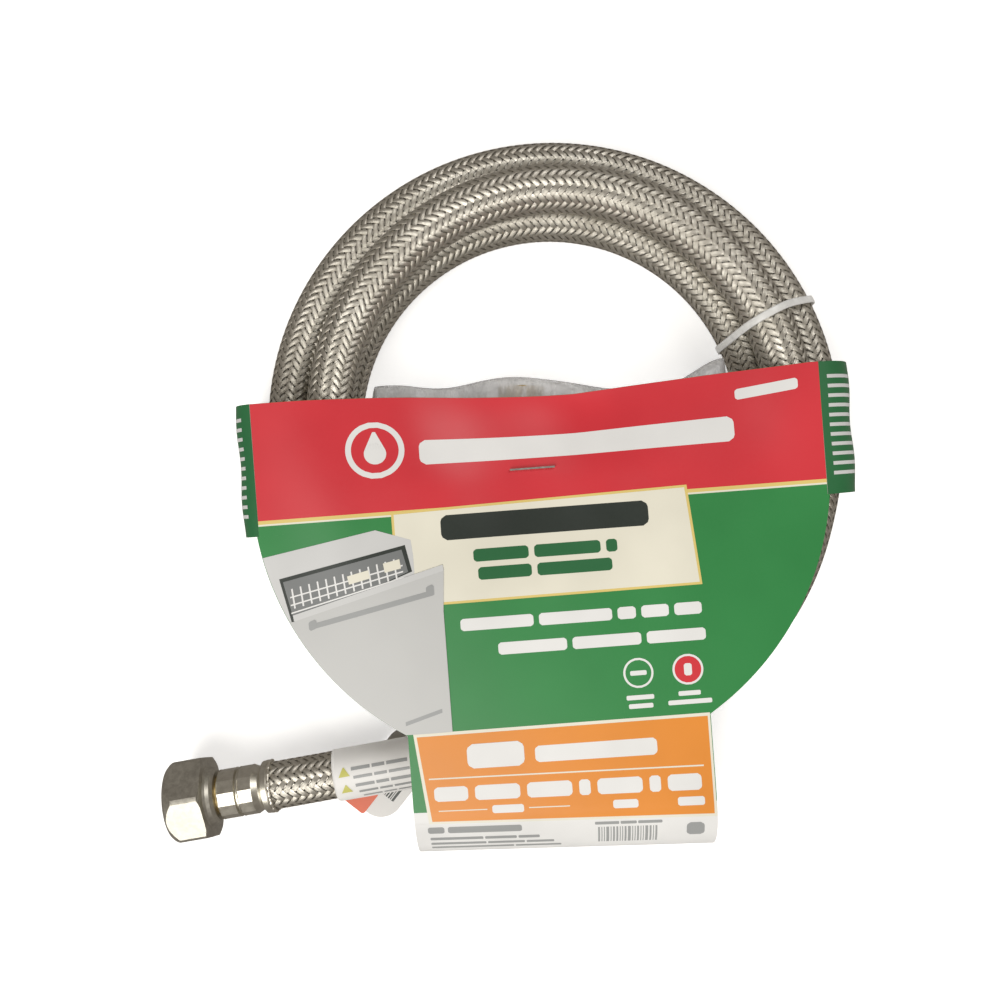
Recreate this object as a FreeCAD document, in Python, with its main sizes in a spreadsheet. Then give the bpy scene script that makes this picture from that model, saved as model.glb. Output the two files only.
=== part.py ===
import FreeCAD, Part
import math
import os
import Sketcher
from FreeCAD import Placement, Rotation, Vector

# A braided dishwasher supply line, coiled and packed for sale: a hose with a swivel nut at each end,
# wound in three turns, held by a tie and a folded card sleeve, with a bag of fittings inside the ring.
# Millimetres. The layout puts the coil's centre at (0, 0) and the surface it lies on at z = 0; the last
# step moves every sub-part together so that the origin is the middle of the whole model's underside.

SIZES = {
    # hose
    "hose_diameter": 14.0,
    "hose_bore": 9.5,
    "braid_wall": 0.6,
    "layer_gap": 0.05,
    # coil: distance of each turn's centre from the middle
    "outer_turn": 80.5,
    "inner_turn": 64.7,
    "top_turn_near": 62.9,
    "top_turn_far": 70.2,
    "turn_shift": 7.3,
    "top_start_angle": 250.0,
    "coil_lift": 0.6,
    # inlet fitting, lengths measured back from the nut's mouth
    "inlet_flats": 22.8,
    "inlet_corner": 1.4,
    "inlet_hex_length": 11.2,
    "inlet_nut_length": 13.6,
    "inlet_boss": 8.6,
    "inlet_thread": 9.45,
    "inlet_thread_depth": 10.0,
    "inlet_neck_step": 0.85,
    "inlet_flange_clearance": 0.55,
    "inlet_washer_thick": 2.4,
    # outlet fitting
    "outlet_flats": 18.0,
    "outlet_corner": 1.1,
    "outlet_hex_length": 11.5,
    "outlet_nut_length": 14.0,
    "outlet_boss": 7.2,
    "outlet_thread": 6.57,
    "outlet_thread_depth": 8.5,
    "outlet_neck_step": 0.25,
    "outlet_flange_clearance": 0.37,
    "outlet_washer_thick": 2.0,
    # shared by both fittings
    "swivel_gap": 0.05,
    "nut_play": 0.4,
    "flange_thick": 1.4,
    "thread_relief": 0.5,
    "washer_clearance": 0.2,
    "nipple_wall": 1.35,
    "ferrule_gap": 0.6,
    "ferrule_length": 15.4,
    "ferrule_end_wall": 1.4,
    "squeezed_wall": 0.95,
    "crimp_wall": 1.2,
    "crimp_length": 5.0,
    "crimp_groove": 1.1,
    "bell_length": 2.8,
    "bell_radius": 7.7,
    "hose_insertion": 1.6,
    # card sleeve, in its own turned frame
    "card_thick": 0.5,
    "card_height": 31.0,
    "card_half_width": 79.3,
    "card_top_edge": 11.8,
    "band_width": 37.0,
    "lobe_radius": 80.5,
    "lobe_centre_drop": 15.0,
    "neck_half_width": 42.2,
    "fold_edge": 124.0,
    "card_sag": 5.0,
    "left_reach": 87.8,
    "right_reach": 93.6,
    "flap_tuck": 26.0,
    "back_top": 34.0,
    "staple_width": 12.7,
    "staple_wire": 0.5,
    "staple_leg": 2.0,
    # tie and bag
    "tie_width": 1.8,
    "tie_thick": 0.4,
    "tie_angle": 26.0,
    "bag_radius": 54.6,
    "bag_top_edge": 15.0,
    "bag_height": 23.8,
    "bag_film": 0.25,
    # loose fittings
    "adapter_flats": 22.0,
    "adapter_corner": 1.2,
    "adapter_hex_length": 9.0,
    "adapter_pipe_thread": 10.4,
    "adapter_pipe_length": 13.0,
    "adapter_way": 5.0,
    "adapter_socket_depth": 8.5,
    "small_socket": 6.57,
    "medium_socket": 7.35,
    "large_socket": 8.05,
    "socket_washer_thick": 1.6,
    "elbow_side": 17.0,
    "elbow_pipe_thread": 8.55,
    "elbow_pipe_length": 14.0,
    "elbow_tube_thread": 7.1,
    "elbow_tube_length": 12.0,
    "elbow_way": 4.5,
    # labels on the inlet tail
    "label_thick": 0.15,
    "label_gap": 0.6,
    "label_length": 20.5,
    "label_spread": 7.5,
    "label_drop": 5.0,
    "tag_width": 16.0,
    "tag_length": 30.0,
    "tag_corner": 7.0,
    "lot_label_side": 8.0,
}

# how the whole layout is turned and where its loose ends lie
CARD_TURN = 4.3
CARD_CENTRE = -4.3
CRIMP_SIDES = 12
INLET_MOUTH = Vector(-111.0, -110.95, 0)
INLET_HEADING = 9.8
INLET_NUT_ROLL = 16.4
OUTLET_HOSE_END = Vector(15.1, -100.6, 18.6)
OUTLET_HEADING = -14.0
OUTLET_SLOPE = -11.0
# the hose leaves each ferrule in line with it for this far
STRAIGHT_RUN = 15.5
# route of the inlet tail, from that straight run to the start of the outer turn
INLET_ROUTE = [
    (-50, -100.6, 9.8),
    (-28, -96.5, 7.6),
    (-4, -91.9, 7.6),
    (26.1, -86.8, 7.6),
    (46.1, -77, 7.6),
    (62.6, -62.2, 7.6),
    (74.4, -43.4, 7.6),
    (80.5, -22, 7.6),
]
# route of the outlet tail, from the end of the top turn to its straight run
OUTLET_ROUTE = [
    (-62.9, -17, 21.6),
    (-60.1, -35.9, 22.2),
    (-51.6, -57.3, 23),
    (-38, -75.1, 23),
    (-20.1, -88.7, 22.9),
]
ADAPTER_PLACES = {"small": (-26.5, -28), "medium": (0, -37), "large": (26.5, -28)}
ELBOW_PLACE = Vector(-8, -8, 0)
LABEL_FROM_FERRULE = 30
TAG_PLACE = Vector(-62.6, -112, 0.65)
LOT_LABEL_PLACE = Vector(-63, -113.2, 0.9)
TAG_TURN = -38.0

doc = FreeCAD.newDocument("supply_line")
sheet = doc.addObject("Spreadsheet::Sheet", "sizes")
parts = []


class Length:
    """A size that knows its value and the sheet expression that gives it."""

    def __init__(self, value, text):
        self.value = value
        self.text = text

    def _join(self, other, sign, result):
        text = other.text if isinstance(other, Length) else repr(float(other))
        return Length(result, "(" + self.text + sign + text + ")")

    def __add__(self, other):
        return self._join(other, " + ", self.value + number(other))

    def __sub__(self, other):
        return self._join(other, " - ", self.value - number(other))

    def __mul__(self, other):
        return self._join(other, " * ", self.value * number(other))

    def __truediv__(self, other):
        return self._join(other, " / ", self.value / number(other))


def number(size):
    """The plain value of a Length or a number."""
    return size.value if isinstance(size, Length) else size


def size(alias):
    """The driving dimension of this name."""
    return Length(SIZES[alias], "sizes." + alias)


def fill_sheet():
    """Write each driving dimension beside its name and give its cell that name as an alias."""
    for row, (alias, value) in enumerate(SIZES.items(), start=1):
        sheet.set("A" + str(row), alias)
        sheet.set("B" + str(row), str(value))
        sheet.setAlias("B" + str(row), alias)
    doc.recompute()


def keep(thing, label, placement=None):
    """Name a sub-part, place it and add it to the list that is checked and written."""
    thing.Label = label
    if placement is not None:
        thing.Placement = placement
    parts.append(thing)
    return thing


def bind(thing, **sizes):
    """Tie properties of a primitive to lengths of the sheet."""
    for name, length in sizes.items():
        if isinstance(length, Length):
            thing.setExpression(name, length.text)
        else:
            setattr(thing, name, length)
    return thing


# ---------------------------------------------------------------- sketches and features


def plane(body, role):
    """One of the body's own origin planes."""
    return [feature for feature in body.Origin.OriginFeatures if feature.Role == role][0]


def pin_point(sketch, line, place, axis_name, length):
    """Hold one coordinate of a line's start on an axis or at a length from the origin."""
    if number(length) == 0:
        axis = -2 if axis_name == "DistanceX" else -1
        sketch.addConstraint(Sketcher.Constraint("PointOnObject", line, place, axis))
        return
    index = sketch.addConstraint(Sketcher.Constraint(axis_name, -1, 1, line, place, number(length)))
    if isinstance(length, Length):
        sketch.setExpression("Constraints[" + str(index) + "]", length.text)


def add_outline(sketch, points):
    """Draw a closed outline whose corners are all held by lengths."""
    places = [Vector(number(x), number(y), 0) for x, y in points]
    lines = []
    for start, end in zip(places, places[1:] + places[:1]):
        lines.append(sketch.addGeometry(Part.LineSegment(start, end), False))
    for line, following in zip(lines, lines[1:] + lines[:1]):
        sketch.addConstraint(Sketcher.Constraint("Coincident", line, 2, following, 1))
    for line, (x, y) in zip(lines, points):
        pin_point(sketch, line, 1, "DistanceX", x)
        pin_point(sketch, line, 1, "DistanceY", y)


def new_sketch(body, role, name):
    """An empty sketch on one of the body's origin planes."""
    sketch = body.newObject("Sketcher::SketchObject", name)
    sketch.AttachmentSupport = [(plane(body, role), "")]
    sketch.MapMode = "FlatFace"
    return sketch


def revolve(body, kind, name, points):
    """Turn an outline of (radius, length) corners about the body's Z axis, as material or as a cut."""
    sketch = new_sketch(body, "XZ_Plane", name + "_sketch")
    add_outline(sketch, points)
    feature = body.newObject("PartDesign::" + kind, name)
    feature.Profile = sketch
    feature.ReferenceAxis = (sketch, ["V_Axis"])
    feature.Angle = 360
    doc.recompute()
    return feature


def polygon_points(sides, flats, first_angle):
    """Corners of a regular polygon from its distance across flats."""
    corner = flats / (2 * math.cos(math.pi / sides))
    points = []
    for step in range(sides):
        angle = math.radians(first_angle) + 2 * math.pi * step / sides
        points.append((corner * math.cos(angle), corner * math.sin(angle)))
    return points


def new_body(name):
    """A new PartDesign body."""
    return doc.addObject("PartDesign::Body", name)


def turned_part(label, points, placement):
    """A body of one revolution."""
    body = new_body(label)
    revolve(body, "Revolution", label + "_turned", points)
    return keep(body, label, placement)


def pad_polygon(body, name, sides, flats, length):
    """Pad a regular polygon that stands on the XY plane."""
    sketch = new_sketch(body, "XY_Plane", name + "_sketch")
    add_outline(sketch, polygon_points(sides, flats, 0))
    pad = body.newObject("PartDesign::Pad", name)
    pad.Profile = sketch
    pad.setExpression("Length", length.text)
    doc.recompute()
    return pad


def cut_to_polygon(body, name, sides, flats, start, length):
    """Press flats into a turned part: cut away all that lies outside a polygon along one stretch."""
    before = body.Shape.Volume
    sketch = new_sketch(body, "XY_Plane", name + "_sketch")
    add_outline(sketch, polygon_points(sides, flats, 180 / sides))
    reach = sketch.addGeometry(Part.Circle(Vector(0, 0, 0), Vector(0, 0, 1), number(flats)), False)
    sketch.addConstraint(Sketcher.Constraint("Coincident", reach, 3, -1, 1))
    radius = sketch.addConstraint(Sketcher.Constraint("Radius", reach, number(flats)))
    sketch.setExpression("Constraints[" + str(radius) + "]", flats.text)
    sketch.setExpression("AttachmentOffset.Base.z", start.text)
    pocket = body.newObject("PartDesign::Pocket", name)
    pocket.Profile = sketch
    pocket.Reversed = True
    pocket.setExpression("Length", length.text)
    doc.recompute()
    if body.Shape.Volume >= before:
        raise RuntimeError(name + " cuts nothing")


def primitive(kind, name, placement, **sizes):
    """A Part primitive with its sizes tied to the sheet."""
    thing = bind(doc.addObject("Part::" + kind, name), **sizes)
    thing.Placement = placement
    return thing


def fuse(name, *shapes):
    """One solid from several."""
    thing = doc.addObject("Part::MultiFuse", name)
    thing.Shapes = list(shapes)
    thing.Refine = True
    return thing


def cut(name, base, tool):
    """The base without the tool."""
    thing = doc.addObject("Part::Cut", name)
    thing.Base = base
    thing.Tool = tool
    return thing


def at(x=0.0, y=0.0, z=0.0, turn=0.0):
    """A placement with a turn about Z."""
    return Placement(Vector(x, y, z), Rotation(Vector(0, 0, 1), turn))


# ---------------------------------------------------------------- paths and tubes


def rounded_path(points):
    """Straight runs joined by tangent arcs, each as large as its two runs allow.

    Returns the path and the radii of its arcs.
    """
    edges = []
    radii = []
    start = points[0]
    for before, corner, after in zip(points, points[1:], points[2:]):
        incoming = (corner - before).normalize()
        outgoing = (after - corner).normalize()
        setback = 0.45 * min((corner - before).Length, (after - corner).Length)
        half_turn = incoming.getAngle(outgoing) / 2
        radius = setback / math.tan(half_turn)
        arc_start = corner - incoming * setback
        arc_end = corner + outgoing * setback
        inward = (outgoing - incoming).normalize()
        arc_middle = corner + inward * (radius / math.cos(half_turn) - radius)
        edges.append(Part.LineSegment(start, arc_start).toShape())
        edges.append(Part.Arc(arc_start, arc_middle, arc_end).toShape())
        radii.append(radius)
        start = arc_end
    edges.append(Part.LineSegment(start, points[-1]).toShape())
    return Part.Wire(edges), radii


def sweep_disc(path, radius):
    """A solid round bar along a path."""
    edge = path.OrderedEdges[0]
    start = edge.valueAt(edge.FirstParameter)
    direction = edge.tangentAt(edge.FirstParameter)
    disc = Part.Wire(Part.Circle(start, direction, radius).toShape())
    return path.makePipeShell([disc], True, False)


def tube(label, points, outer, inner):
    """A hose layer along a route."""
    path, radii = rounded_path(points)
    shape = sweep_disc(path, outer).cut(sweep_disc(path, inner))
    expected = math.pi * (outer**2 - inner**2) * path.Length
    print(label, "length", round(path.Length, 1), "radii", [round(radius) for radius in radii])
    print(label, "volume over section times length", round(shape.Volume / expected, 4))
    feature = doc.addObject("Part::Feature", label)
    feature.Shape = shape
    return keep(feature, label, at())


def squeezed_tube(label, points, outer, inner, stub, stub_radius):
    """A hose layer along a route, thinner along one more straight run at its end inside a ferrule."""
    path = rounded_path(points)[0]
    run = Part.LineSegment(*stub).toShape()
    at_start = stub[1].isEqual(points[0], 1e-6)
    bore_path = Part.Wire([run] + path.OrderedEdges if at_start else path.OrderedEdges + [run])
    outside = sweep_disc(path, outer).fuse(sweep_disc(Part.Wire(run), stub_radius))
    shape = outside.cut(sweep_disc(bore_path, inner))
    feature = doc.addObject("Part::Feature", label)
    feature.Shape = shape
    return keep(feature, label, at())


# ---------------------------------------------------------------- end fittings


def fitting_frame(mouth, toward_hose):
    """Placement of a fitting: its Z axis runs from the nut's mouth to the hose, a flat faces down."""
    along = Vector(toward_hose).normalize()
    across = Vector(0, 0, 1).cross(along).normalize()
    up = along.cross(across)
    return Placement(Vector(mouth), Rotation(across, up, along, "ZXY"))


def flange_front(end):
    """Distance from the nut's mouth to the front of the nipple's flange."""
    return size(end + "_thread_depth") - size("nut_play") - size("flange_thick")


def washer_front(end):
    """Distance from the nut's mouth to the face that seals on the valve, where the thread ends."""
    return flange_front(end) - size(end + "_washer_thick")


def neck_radius(end):
    """Radius of a nipple's neck, a step larger than the hose's bore."""
    return size("hose_bore") / 2 + size(end + "_neck_step")


def water_way():
    """Radius of the way through a nipple, a wall smaller than the hose's bore."""
    return size("hose_bore") / 2 - size("nipple_wall")


def swivel_nut(end, frame, roll):
    """Hexagon nut with a round boss, a threaded mouth, a relief for the washer and a hole for the neck.

    It has been turned on its nipple by the roll.
    """
    flats = size(end + "_flats")
    turned = size(end + "_flats") / 2 + size(end + "_corner")
    hexagon = size(end + "_hex_length")
    total = size(end + "_nut_length")
    boss = size(end + "_boss")
    thread = size(end + "_thread")
    depth = size(end + "_thread_depth")
    hole = neck_radius(end) + size("swivel_gap")
    relief = thread + size("thread_relief")
    thread_end = washer_front(end)
    chamfer = turned - flats / 2
    outside = flats
    body = new_body(end + "_nut")
    pad_polygon(body, end + "_nut_hexagon", 6, flats, total)
    revolve(
        body,
        "Groove",
        end + "_nut_outside",
        [
            (flats / 2 - chamfer / 2, 0),
            (flats / 2, chamfer / 2),
            (turned, chamfer * 2.2),
            (turned, hexagon - chamfer * 0.4),
            (turned - chamfer * 0.6, hexagon),
            (boss + 0.6, hexagon),
            (boss, hexagon + 0.6),
            (boss - 0.4, total - 0.8),
            (boss - 1.4, total),
            (outside, total),
            (outside, 0),
        ],
    )
    revolve(
        body,
        "Groove",
        end + "_nut_bore",
        [
            (0, 0),
            (thread + 0.8, 0),
            (thread, 0.8),
            (thread, thread_end),
            (relief, thread_end + size("thread_relief")),
            (relief, depth),
            (hole, depth),
            (hole, total),
            (0, total),
        ],
    )
    return keep(body, end + "_nut", frame.multiply(at(turn=roll)))


def nipple(end, frame):
    """Flanged tube that the nut turns on; its ribbed tail grips the liner inside the ferrule."""
    neck = neck_radius(end)
    flange = size(end + "_thread") - size(end + "_flange_clearance")
    way = water_way()
    front = flange_front(end)
    back = front + size("flange_thick")
    shoulder = size(end + "_nut_length") + size("ferrule_gap") + size("ferrule_end_wall")
    tail = size("hose_bore") / 2 - size("layer_gap")
    rib = size("crimp_length")
    outline = [
        (way, front),
        (flange - 0.4, front),
        (flange, front + 0.4),
        (flange, back),
        (neck, back),
        (neck, shoulder),
        (tail, shoulder),
    ]
    for step in range(2):
        low = shoulder + rib * (step + 0.2)
        outline += [(tail, low), (tail - 0.5, low + 0.1), (tail, low + rib * 0.7)]
    end_length = shoulder + rib * 2.4
    outline += [(tail, end_length - 0.6), (tail - 0.6, end_length), (way, end_length)]
    return turned_part(end + "_nipple", outline, frame)


def cone_washer(end, frame):
    """Rubber washer on the nipple's flange, coned where it meets the valve."""
    back = flange_front(end)
    thick = size(end + "_washer_thick")
    rim = size(end + "_thread") - size(end + "_flange_clearance") + size("washer_clearance") - 0.05
    hole = water_way()
    outline = [(hole + 0.2, back), (rim, back), (rim, back - thick * 0.55), (rim - 1.2, back - thick),
               (hole + 0.8, back - thick), (hole + 0.2, back - thick * 0.7)]
    return turned_part(end + "_washer", outline, frame)


def ferrule(end, frame):
    """Crimped sleeve: an end wall, two crimped stretches with a groove after each, and a flared bell."""
    start = size(end + "_nut_length") + size("ferrule_gap")
    stop = start + size("ferrule_length")
    wall = start + size("ferrule_end_wall")
    hole = neck_radius(end) + size("swivel_gap")
    bore = size("hose_bore") / 2 + size("squeezed_wall")
    crimp = bore + size("crimp_wall")
    length = size("crimp_length")
    groove = size("crimp_groove")
    bell = size("bell_length")
    mouth = size("hose_diameter") / 2 + size("layer_gap")
    lip = size("bell_radius")
    swell = 0.3
    first = start + 0.5
    second = first + length + groove
    neck = stop - bell
    body = new_body(end + "_ferrule")
    revolve(
        body,
        "Revolution",
        end + "_ferrule_turned",
        [
            (hole, start),
            (crimp - 0.9, start),
            (crimp + swell, first),
            (crimp + swell, first + length),
            (crimp - 0.5, first + length + groove * 0.3),
            (crimp - 0.5, first + length + groove * 0.7),
            (crimp + swell, second),
            (crimp + swell, second + length * 0.8),
            (crimp - 0.6, neck - groove * 0.3),
            (crimp - 0.5, neck),
            (lip - 0.15, stop - size("hose_insertion") - 0.3),
            (lip, stop - bell * 0.15),
            (lip - 0.1, stop),
            (mouth, stop),
            (mouth, stop - size("hose_insertion")),
            (bore, stop - size("hose_insertion")),
            (bore, wall),
            (hole, wall),
        ],
    )
    cut_to_polygon(body, end + "_first_crimp", CRIMP_SIDES, crimp * 2, first, length)
    cut_to_polygon(body, end + "_second_crimp", CRIMP_SIDES, crimp * 2, second, length * 0.8)
    return keep(body, end + "_ferrule", frame)


def end_fitting(end, frame, roll):
    """All the pieces of one end."""
    swivel_nut(end, frame, roll)
    nipple(end, frame)
    cone_washer(end, frame)
    ferrule(end, frame)


def hose_start(end, frame):
    """Where the round hose begins, just inside the ferrule's bell."""
    stop = size(end + "_nut_length") + size("ferrule_gap") + size("ferrule_length")
    return frame.multVec(Vector(0, 0, number(stop) - SIZES["hose_insertion"]))


def tail(end, points, frame):
    """Braid and liner of one tail of the hose."""
    outer = SIZES["hose_diameter"] / 2
    inside_braid = outer - SIZES["braid_wall"]
    tube(end + "_tail_braid", points, outer, inside_braid)
    liner = inside_braid - SIZES["layer_gap"]
    wall = number(size(end + "_nut_length") + size("ferrule_gap") + size("ferrule_end_wall"))
    shoulder = frame.multVec(Vector(0, 0, wall))
    meeting = hose_start(end, frame)
    stub = [shoulder, points[0]] if meeting.isEqual(points[0], 1e-6) else [points[-1], shoulder]
    squeezed_tube(end + "_tail_liner", points, liner, SIZES["hose_bore"] / 2, stub,
                  SIZES["hose_bore"] / 2 + SIZES["squeezed_wall"] - SIZES["layer_gap"])


# ---------------------------------------------------------------- coil


def coil():
    """Outer shape of the wound hose: two turns side by side below, the third turn above them."""
    layer = size("hose_diameter")
    radius = layer / 2
    lift = size("coil_lift").value
    shift = size("turn_shift").value
    step_radius = size("outer_turn") - size("turn_shift")
    top_sweep = 540 - SIZES["top_start_angle"]
    upper_half = primitive("Cylinder", "coil_upper_half", at(z=lift),
                           Radius=size("outer_turn") + radius, Height=layer, Angle=180)
    lower_half = primitive("Cylinder", "coil_lower_half", at(-shift, 0, lift, 180),
                           Radius=step_radius + radius, Height=layer, Angle=180)
    middle = primitive("Cylinder", "coil_middle", at(z=lift), Radius=size("inner_turn") - radius, Height=layer)
    top = primitive("Cylinder", "coil_top", at(z=lift + layer.value, turn=SIZES["top_start_angle"]),
                    Radius=size("top_turn_far") + radius, Height=layer, Angle=top_sweep)
    top_middle = primitive("Cylinder", "coil_top_middle", at(z=lift + layer.value),
                           Radius=size("top_turn_near") - radius, Height=layer)
    below = cut("coil_below", fuse("coil_both_halves", upper_half, lower_half), middle)
    above = cut("coil_above", top, top_middle)
    keep(fuse("hose_coil", below, above), "hose_coil")


def tie():
    """Flat tie looped round all three turns."""
    half_hose = size("hose_diameter") / 2
    gap = 1.2
    inside = size("top_turn_near") - half_hose - gap
    reach = size("outer_turn") + half_hose + gap - inside
    thick = size("tie_thick")
    height = size("coil_lift") + size("hose_diameter") * 2 + gap - 0.1
    width = size("tie_width")
    frame = Placement(Vector(0, 0, 0), Rotation(Vector(0, 0, 1), SIZES["tie_angle"]))
    outer = primitive("Box", "tie_outer", frame.multiply(at(inside.value - thick.value, -width.value / 2, 0.1)),
                      Length=reach + thick * 2, Width=width, Height=height + thick)
    inner = primitive("Box", "tie_inner", frame.multiply(at(inside.value, -width.value / 2, 0.1 + thick.value)),
                      Length=reach, Width=width, Height=height - thick)
    keep(cut("coil_tie", outer, inner), "coil_tie")


# ---------------------------------------------------------------- card sleeve


def card_height_at(u, v):
    """Height of the card's underside: it sags into the ring between the two sides of the coil."""
    across = max(0.0, 1 - ((u - CARD_CENTRE) / 48) ** 2)
    along = min(1.0, max(0.0, (v + 48) / 44))
    smooth = along * along * (3 - 2 * along)
    return SIZES["card_height"] - SIZES["card_sag"] * across**2 * smooth


def card_outline():
    """Band, round lobe and neck of the front panel as one outline."""
    half = SIZES["card_half_width"]
    top = SIZES["card_top_edge"]
    low = top - SIZES["band_width"]
    drop = -SIZES["lobe_centre_drop"]
    radius = SIZES["lobe_radius"]
    neck = SIZES["neck_half_width"]
    bend = (SIZES["card_height"] + SIZES["card_thick"]) / 2
    neck_end = -SIZES["fold_edge"] + bend
    corner = drop - math.sqrt(radius**2 - neck**2)
    lobe_start = math.sqrt(radius**2 - (low - drop) ** 2)
    side = math.radians(-35)
    right = CARD_CENTRE + neck
    left = CARD_CENTRE - neck
    on_lobe = Vector(CARD_CENTRE + radius * math.cos(side), drop + radius * math.sin(side), 0)
    mirrored = Vector(2 * CARD_CENTRE - on_lobe.x, on_lobe.y, 0)
    right_lobe = Vector(CARD_CENTRE + lobe_start, low, 0)
    left_lobe = Vector(CARD_CENTRE - lobe_start, low, 0)
    corners = [
        left_lobe,
        Vector(CARD_CENTRE - half, low, 0),
        Vector(CARD_CENTRE - half, top, 0),
        Vector(CARD_CENTRE + half, top, 0),
        Vector(CARD_CENTRE + half, low, 0),
        right_lobe,
    ]
    edges = [Part.LineSegment(a, b).toShape() for a, b in zip(corners, corners[1:])]
    edges.append(Part.Arc(right_lobe, on_lobe, Vector(right, corner, 0)).toShape())
    bottom = [Vector(right, corner, 0), Vector(right, neck_end, 0), Vector(left, neck_end, 0),
              Vector(left, corner, 0)]
    edges += [Part.LineSegment(a, b).toShape() for a, b in zip(bottom, bottom[1:])]
    edges.append(Part.Arc(Vector(left, corner, 0), mirrored, left_lobe).toShape())
    return Part.Face(Part.Wire(edges))


def card_front(frame):
    """Front panel: the outline cut out of a thin sheet that sags in the middle."""
    reach_u = SIZES["card_half_width"] + 12
    low_v = -SIZES["fold_edge"] - 10
    high_v = SIZES["card_top_edge"] + 10
    columns = 25
    rows = 25
    grid = []
    for column in range(columns):
        u = CARD_CENTRE - reach_u + 2 * reach_u * column / (columns - 1)
        line = []
        for row in range(rows):
            v = low_v + (high_v - low_v) * row / (rows - 1)
            line.append(Vector(u, v, card_height_at(u, v)))
        grid.append(line)
    surface = Part.BSplineSurface()
    surface.interpolate(grid)
    sheet_solid = surface.toShape().extrude(Vector(0, 0, SIZES["card_thick"]))
    prism = card_outline().extrude(Vector(0, 0, SIZES["card_height"] * 2))
    feature = doc.addObject("Part::Feature", "card_front")
    feature.Shape = prism.common(sheet_solid).Solids[0]
    keep(feature, "card_front", frame)


def bent_sheet(label, wire, side, direction, frame):
    """A strip of card whose bent edge is the wire, thickened to one side and carried along a direction."""
    face = wire.makeOffset2D(side * SIZES["card_thick"], 2, True, True, False)
    feature = doc.addObject("Part::Feature", label)
    feature.Shape = face.extrude(direction)
    keep(feature, label, frame)


def card_side(label, hand, reach, frame):
    """Side flap: from the fold over the coil's side, down to the floor and in under the coil."""
    half = SIZES["card_half_width"]
    top = SIZES["card_height"]
    thick = SIZES["card_thick"]
    v = SIZES["card_top_edge"] - SIZES["band_width"]
    bulge = reach - half
    fold = CARD_CENTRE + hand * half
    outer = fold + hand * bulge
    diagonal = bulge * (1 - math.sqrt(0.5))
    arc = Part.Arc(
        Vector(fold, v, top),
        Vector(outer - hand * diagonal, v, top - diagonal),
        Vector(outer, v, top - bulge),
    ).toShape()
    down = Part.LineSegment(Vector(outer, v, top - bulge), Vector(outer, v, thick)).toShape()
    under = Part.LineSegment(Vector(outer, v, thick), Vector(outer - hand * SIZES["flap_tuck"], v, thick)).toShape()
    bent_sheet(label, Part.Wire([arc, down, under]), hand, Vector(0, SIZES["band_width"], 0), frame)


def card_bottom(frame):
    """The neck's bend round the coil's bottom, as a half turn."""
    thick = SIZES["card_thick"]
    neck = SIZES["neck_half_width"]
    bend = (SIZES["card_height"] + thick) / 2
    centre = Vector(CARD_CENTRE - neck, -SIZES["fold_edge"] + bend, bend)
    inner = bend - thick
    arc = Part.Arc(centre + Vector(0, 0, inner), centre - Vector(0, inner, 0), centre - Vector(0, 0, inner))
    bent_sheet("card_fold", Part.Wire(arc.toShape()), -1, Vector(2 * neck, 0, 0), frame)


def card_back(frame):
    """Back panel: it lies under the coil and reaches up to the middle of the ring."""
    bend = (size("card_height") + size("card_thick")) / 2
    low = bend - size("fold_edge")
    place = frame.multiply(at(CARD_CENTRE - SIZES["neck_half_width"], low.value, 0))
    length = size("fold_edge") - bend - size("back_top")
    keep(primitive("Box", "card_back", place, Length=size("neck_half_width") * 2, Width=length,
                   Height=size("card_thick")), "card_back")


def staple(frame):
    """Wire staple through the band."""
    wire = size("staple_wire")
    width = size("staple_width")
    leg = size("staple_leg")
    u = CARD_CENTRE - 2 - width.value / 2
    v = -12.0
    top = card_height_at(u, v) + SIZES["card_thick"]
    crown = primitive("Box", "staple_crown", frame.multiply(at(u, v, top)), Length=width, Width=wire, Height=wire)
    pieces = [crown]
    for name, offset, inward in [("left", 0.0, 0.0), ("right", width.value - wire.value, -3.0)]:
        pieces.append(primitive("Box", "staple_leg_" + name, frame.multiply(at(u + offset, v, top - leg.value)),
                                Length=wire, Width=wire, Height=leg + wire))
        pieces.append(primitive("Box", "staple_clinch_" + name,
                                frame.multiply(at(u + offset + inward, v, top - leg.value)),
                                Length=wire + 3, Width=wire, Height=wire))
    keep(fuse("card_staple", *pieces), "card_staple")


def card():
    """All panels of the sleeve, in the card's turned frame."""
    frame = at(turn=CARD_TURN)
    card_front(frame)
    card_side("card_side_left", -1, SIZES["left_reach"], frame)
    card_side("card_side_right", 1, SIZES["right_reach"], frame)
    card_bottom(frame)
    card_back(frame)
    staple(frame)


# ---------------------------------------------------------------- bag of fittings


def bag():
    """Clear film bag that fills the ring's lower part."""
    lift = SIZES["coil_lift"] + 0.1
    film = size("bag_film")
    radius = size("bag_radius")
    edge = SIZES["bag_top_edge"]
    reach = 2 * SIZES["bag_radius"]
    solids = []
    for name, inset in [("outer", film * 0), ("inner", film)]:
        disc = primitive("Cylinder", "bag_disc_" + name, at(z=lift + inset.value),
                         Radius=radius - inset, Height=size("bag_height") - inset * 2)
        cap = primitive("Box", "bag_cap_" + name, at(-reach / 2, edge - inset.value, 0),
                        Length=radius * 2, Width=radius, Height=radius)
        solids.append(cut("bag_" + name, disc, cap))
    keep(cut("fittings_bag", *solids), "fittings_bag")
    return lift + 2 * film.value


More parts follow.
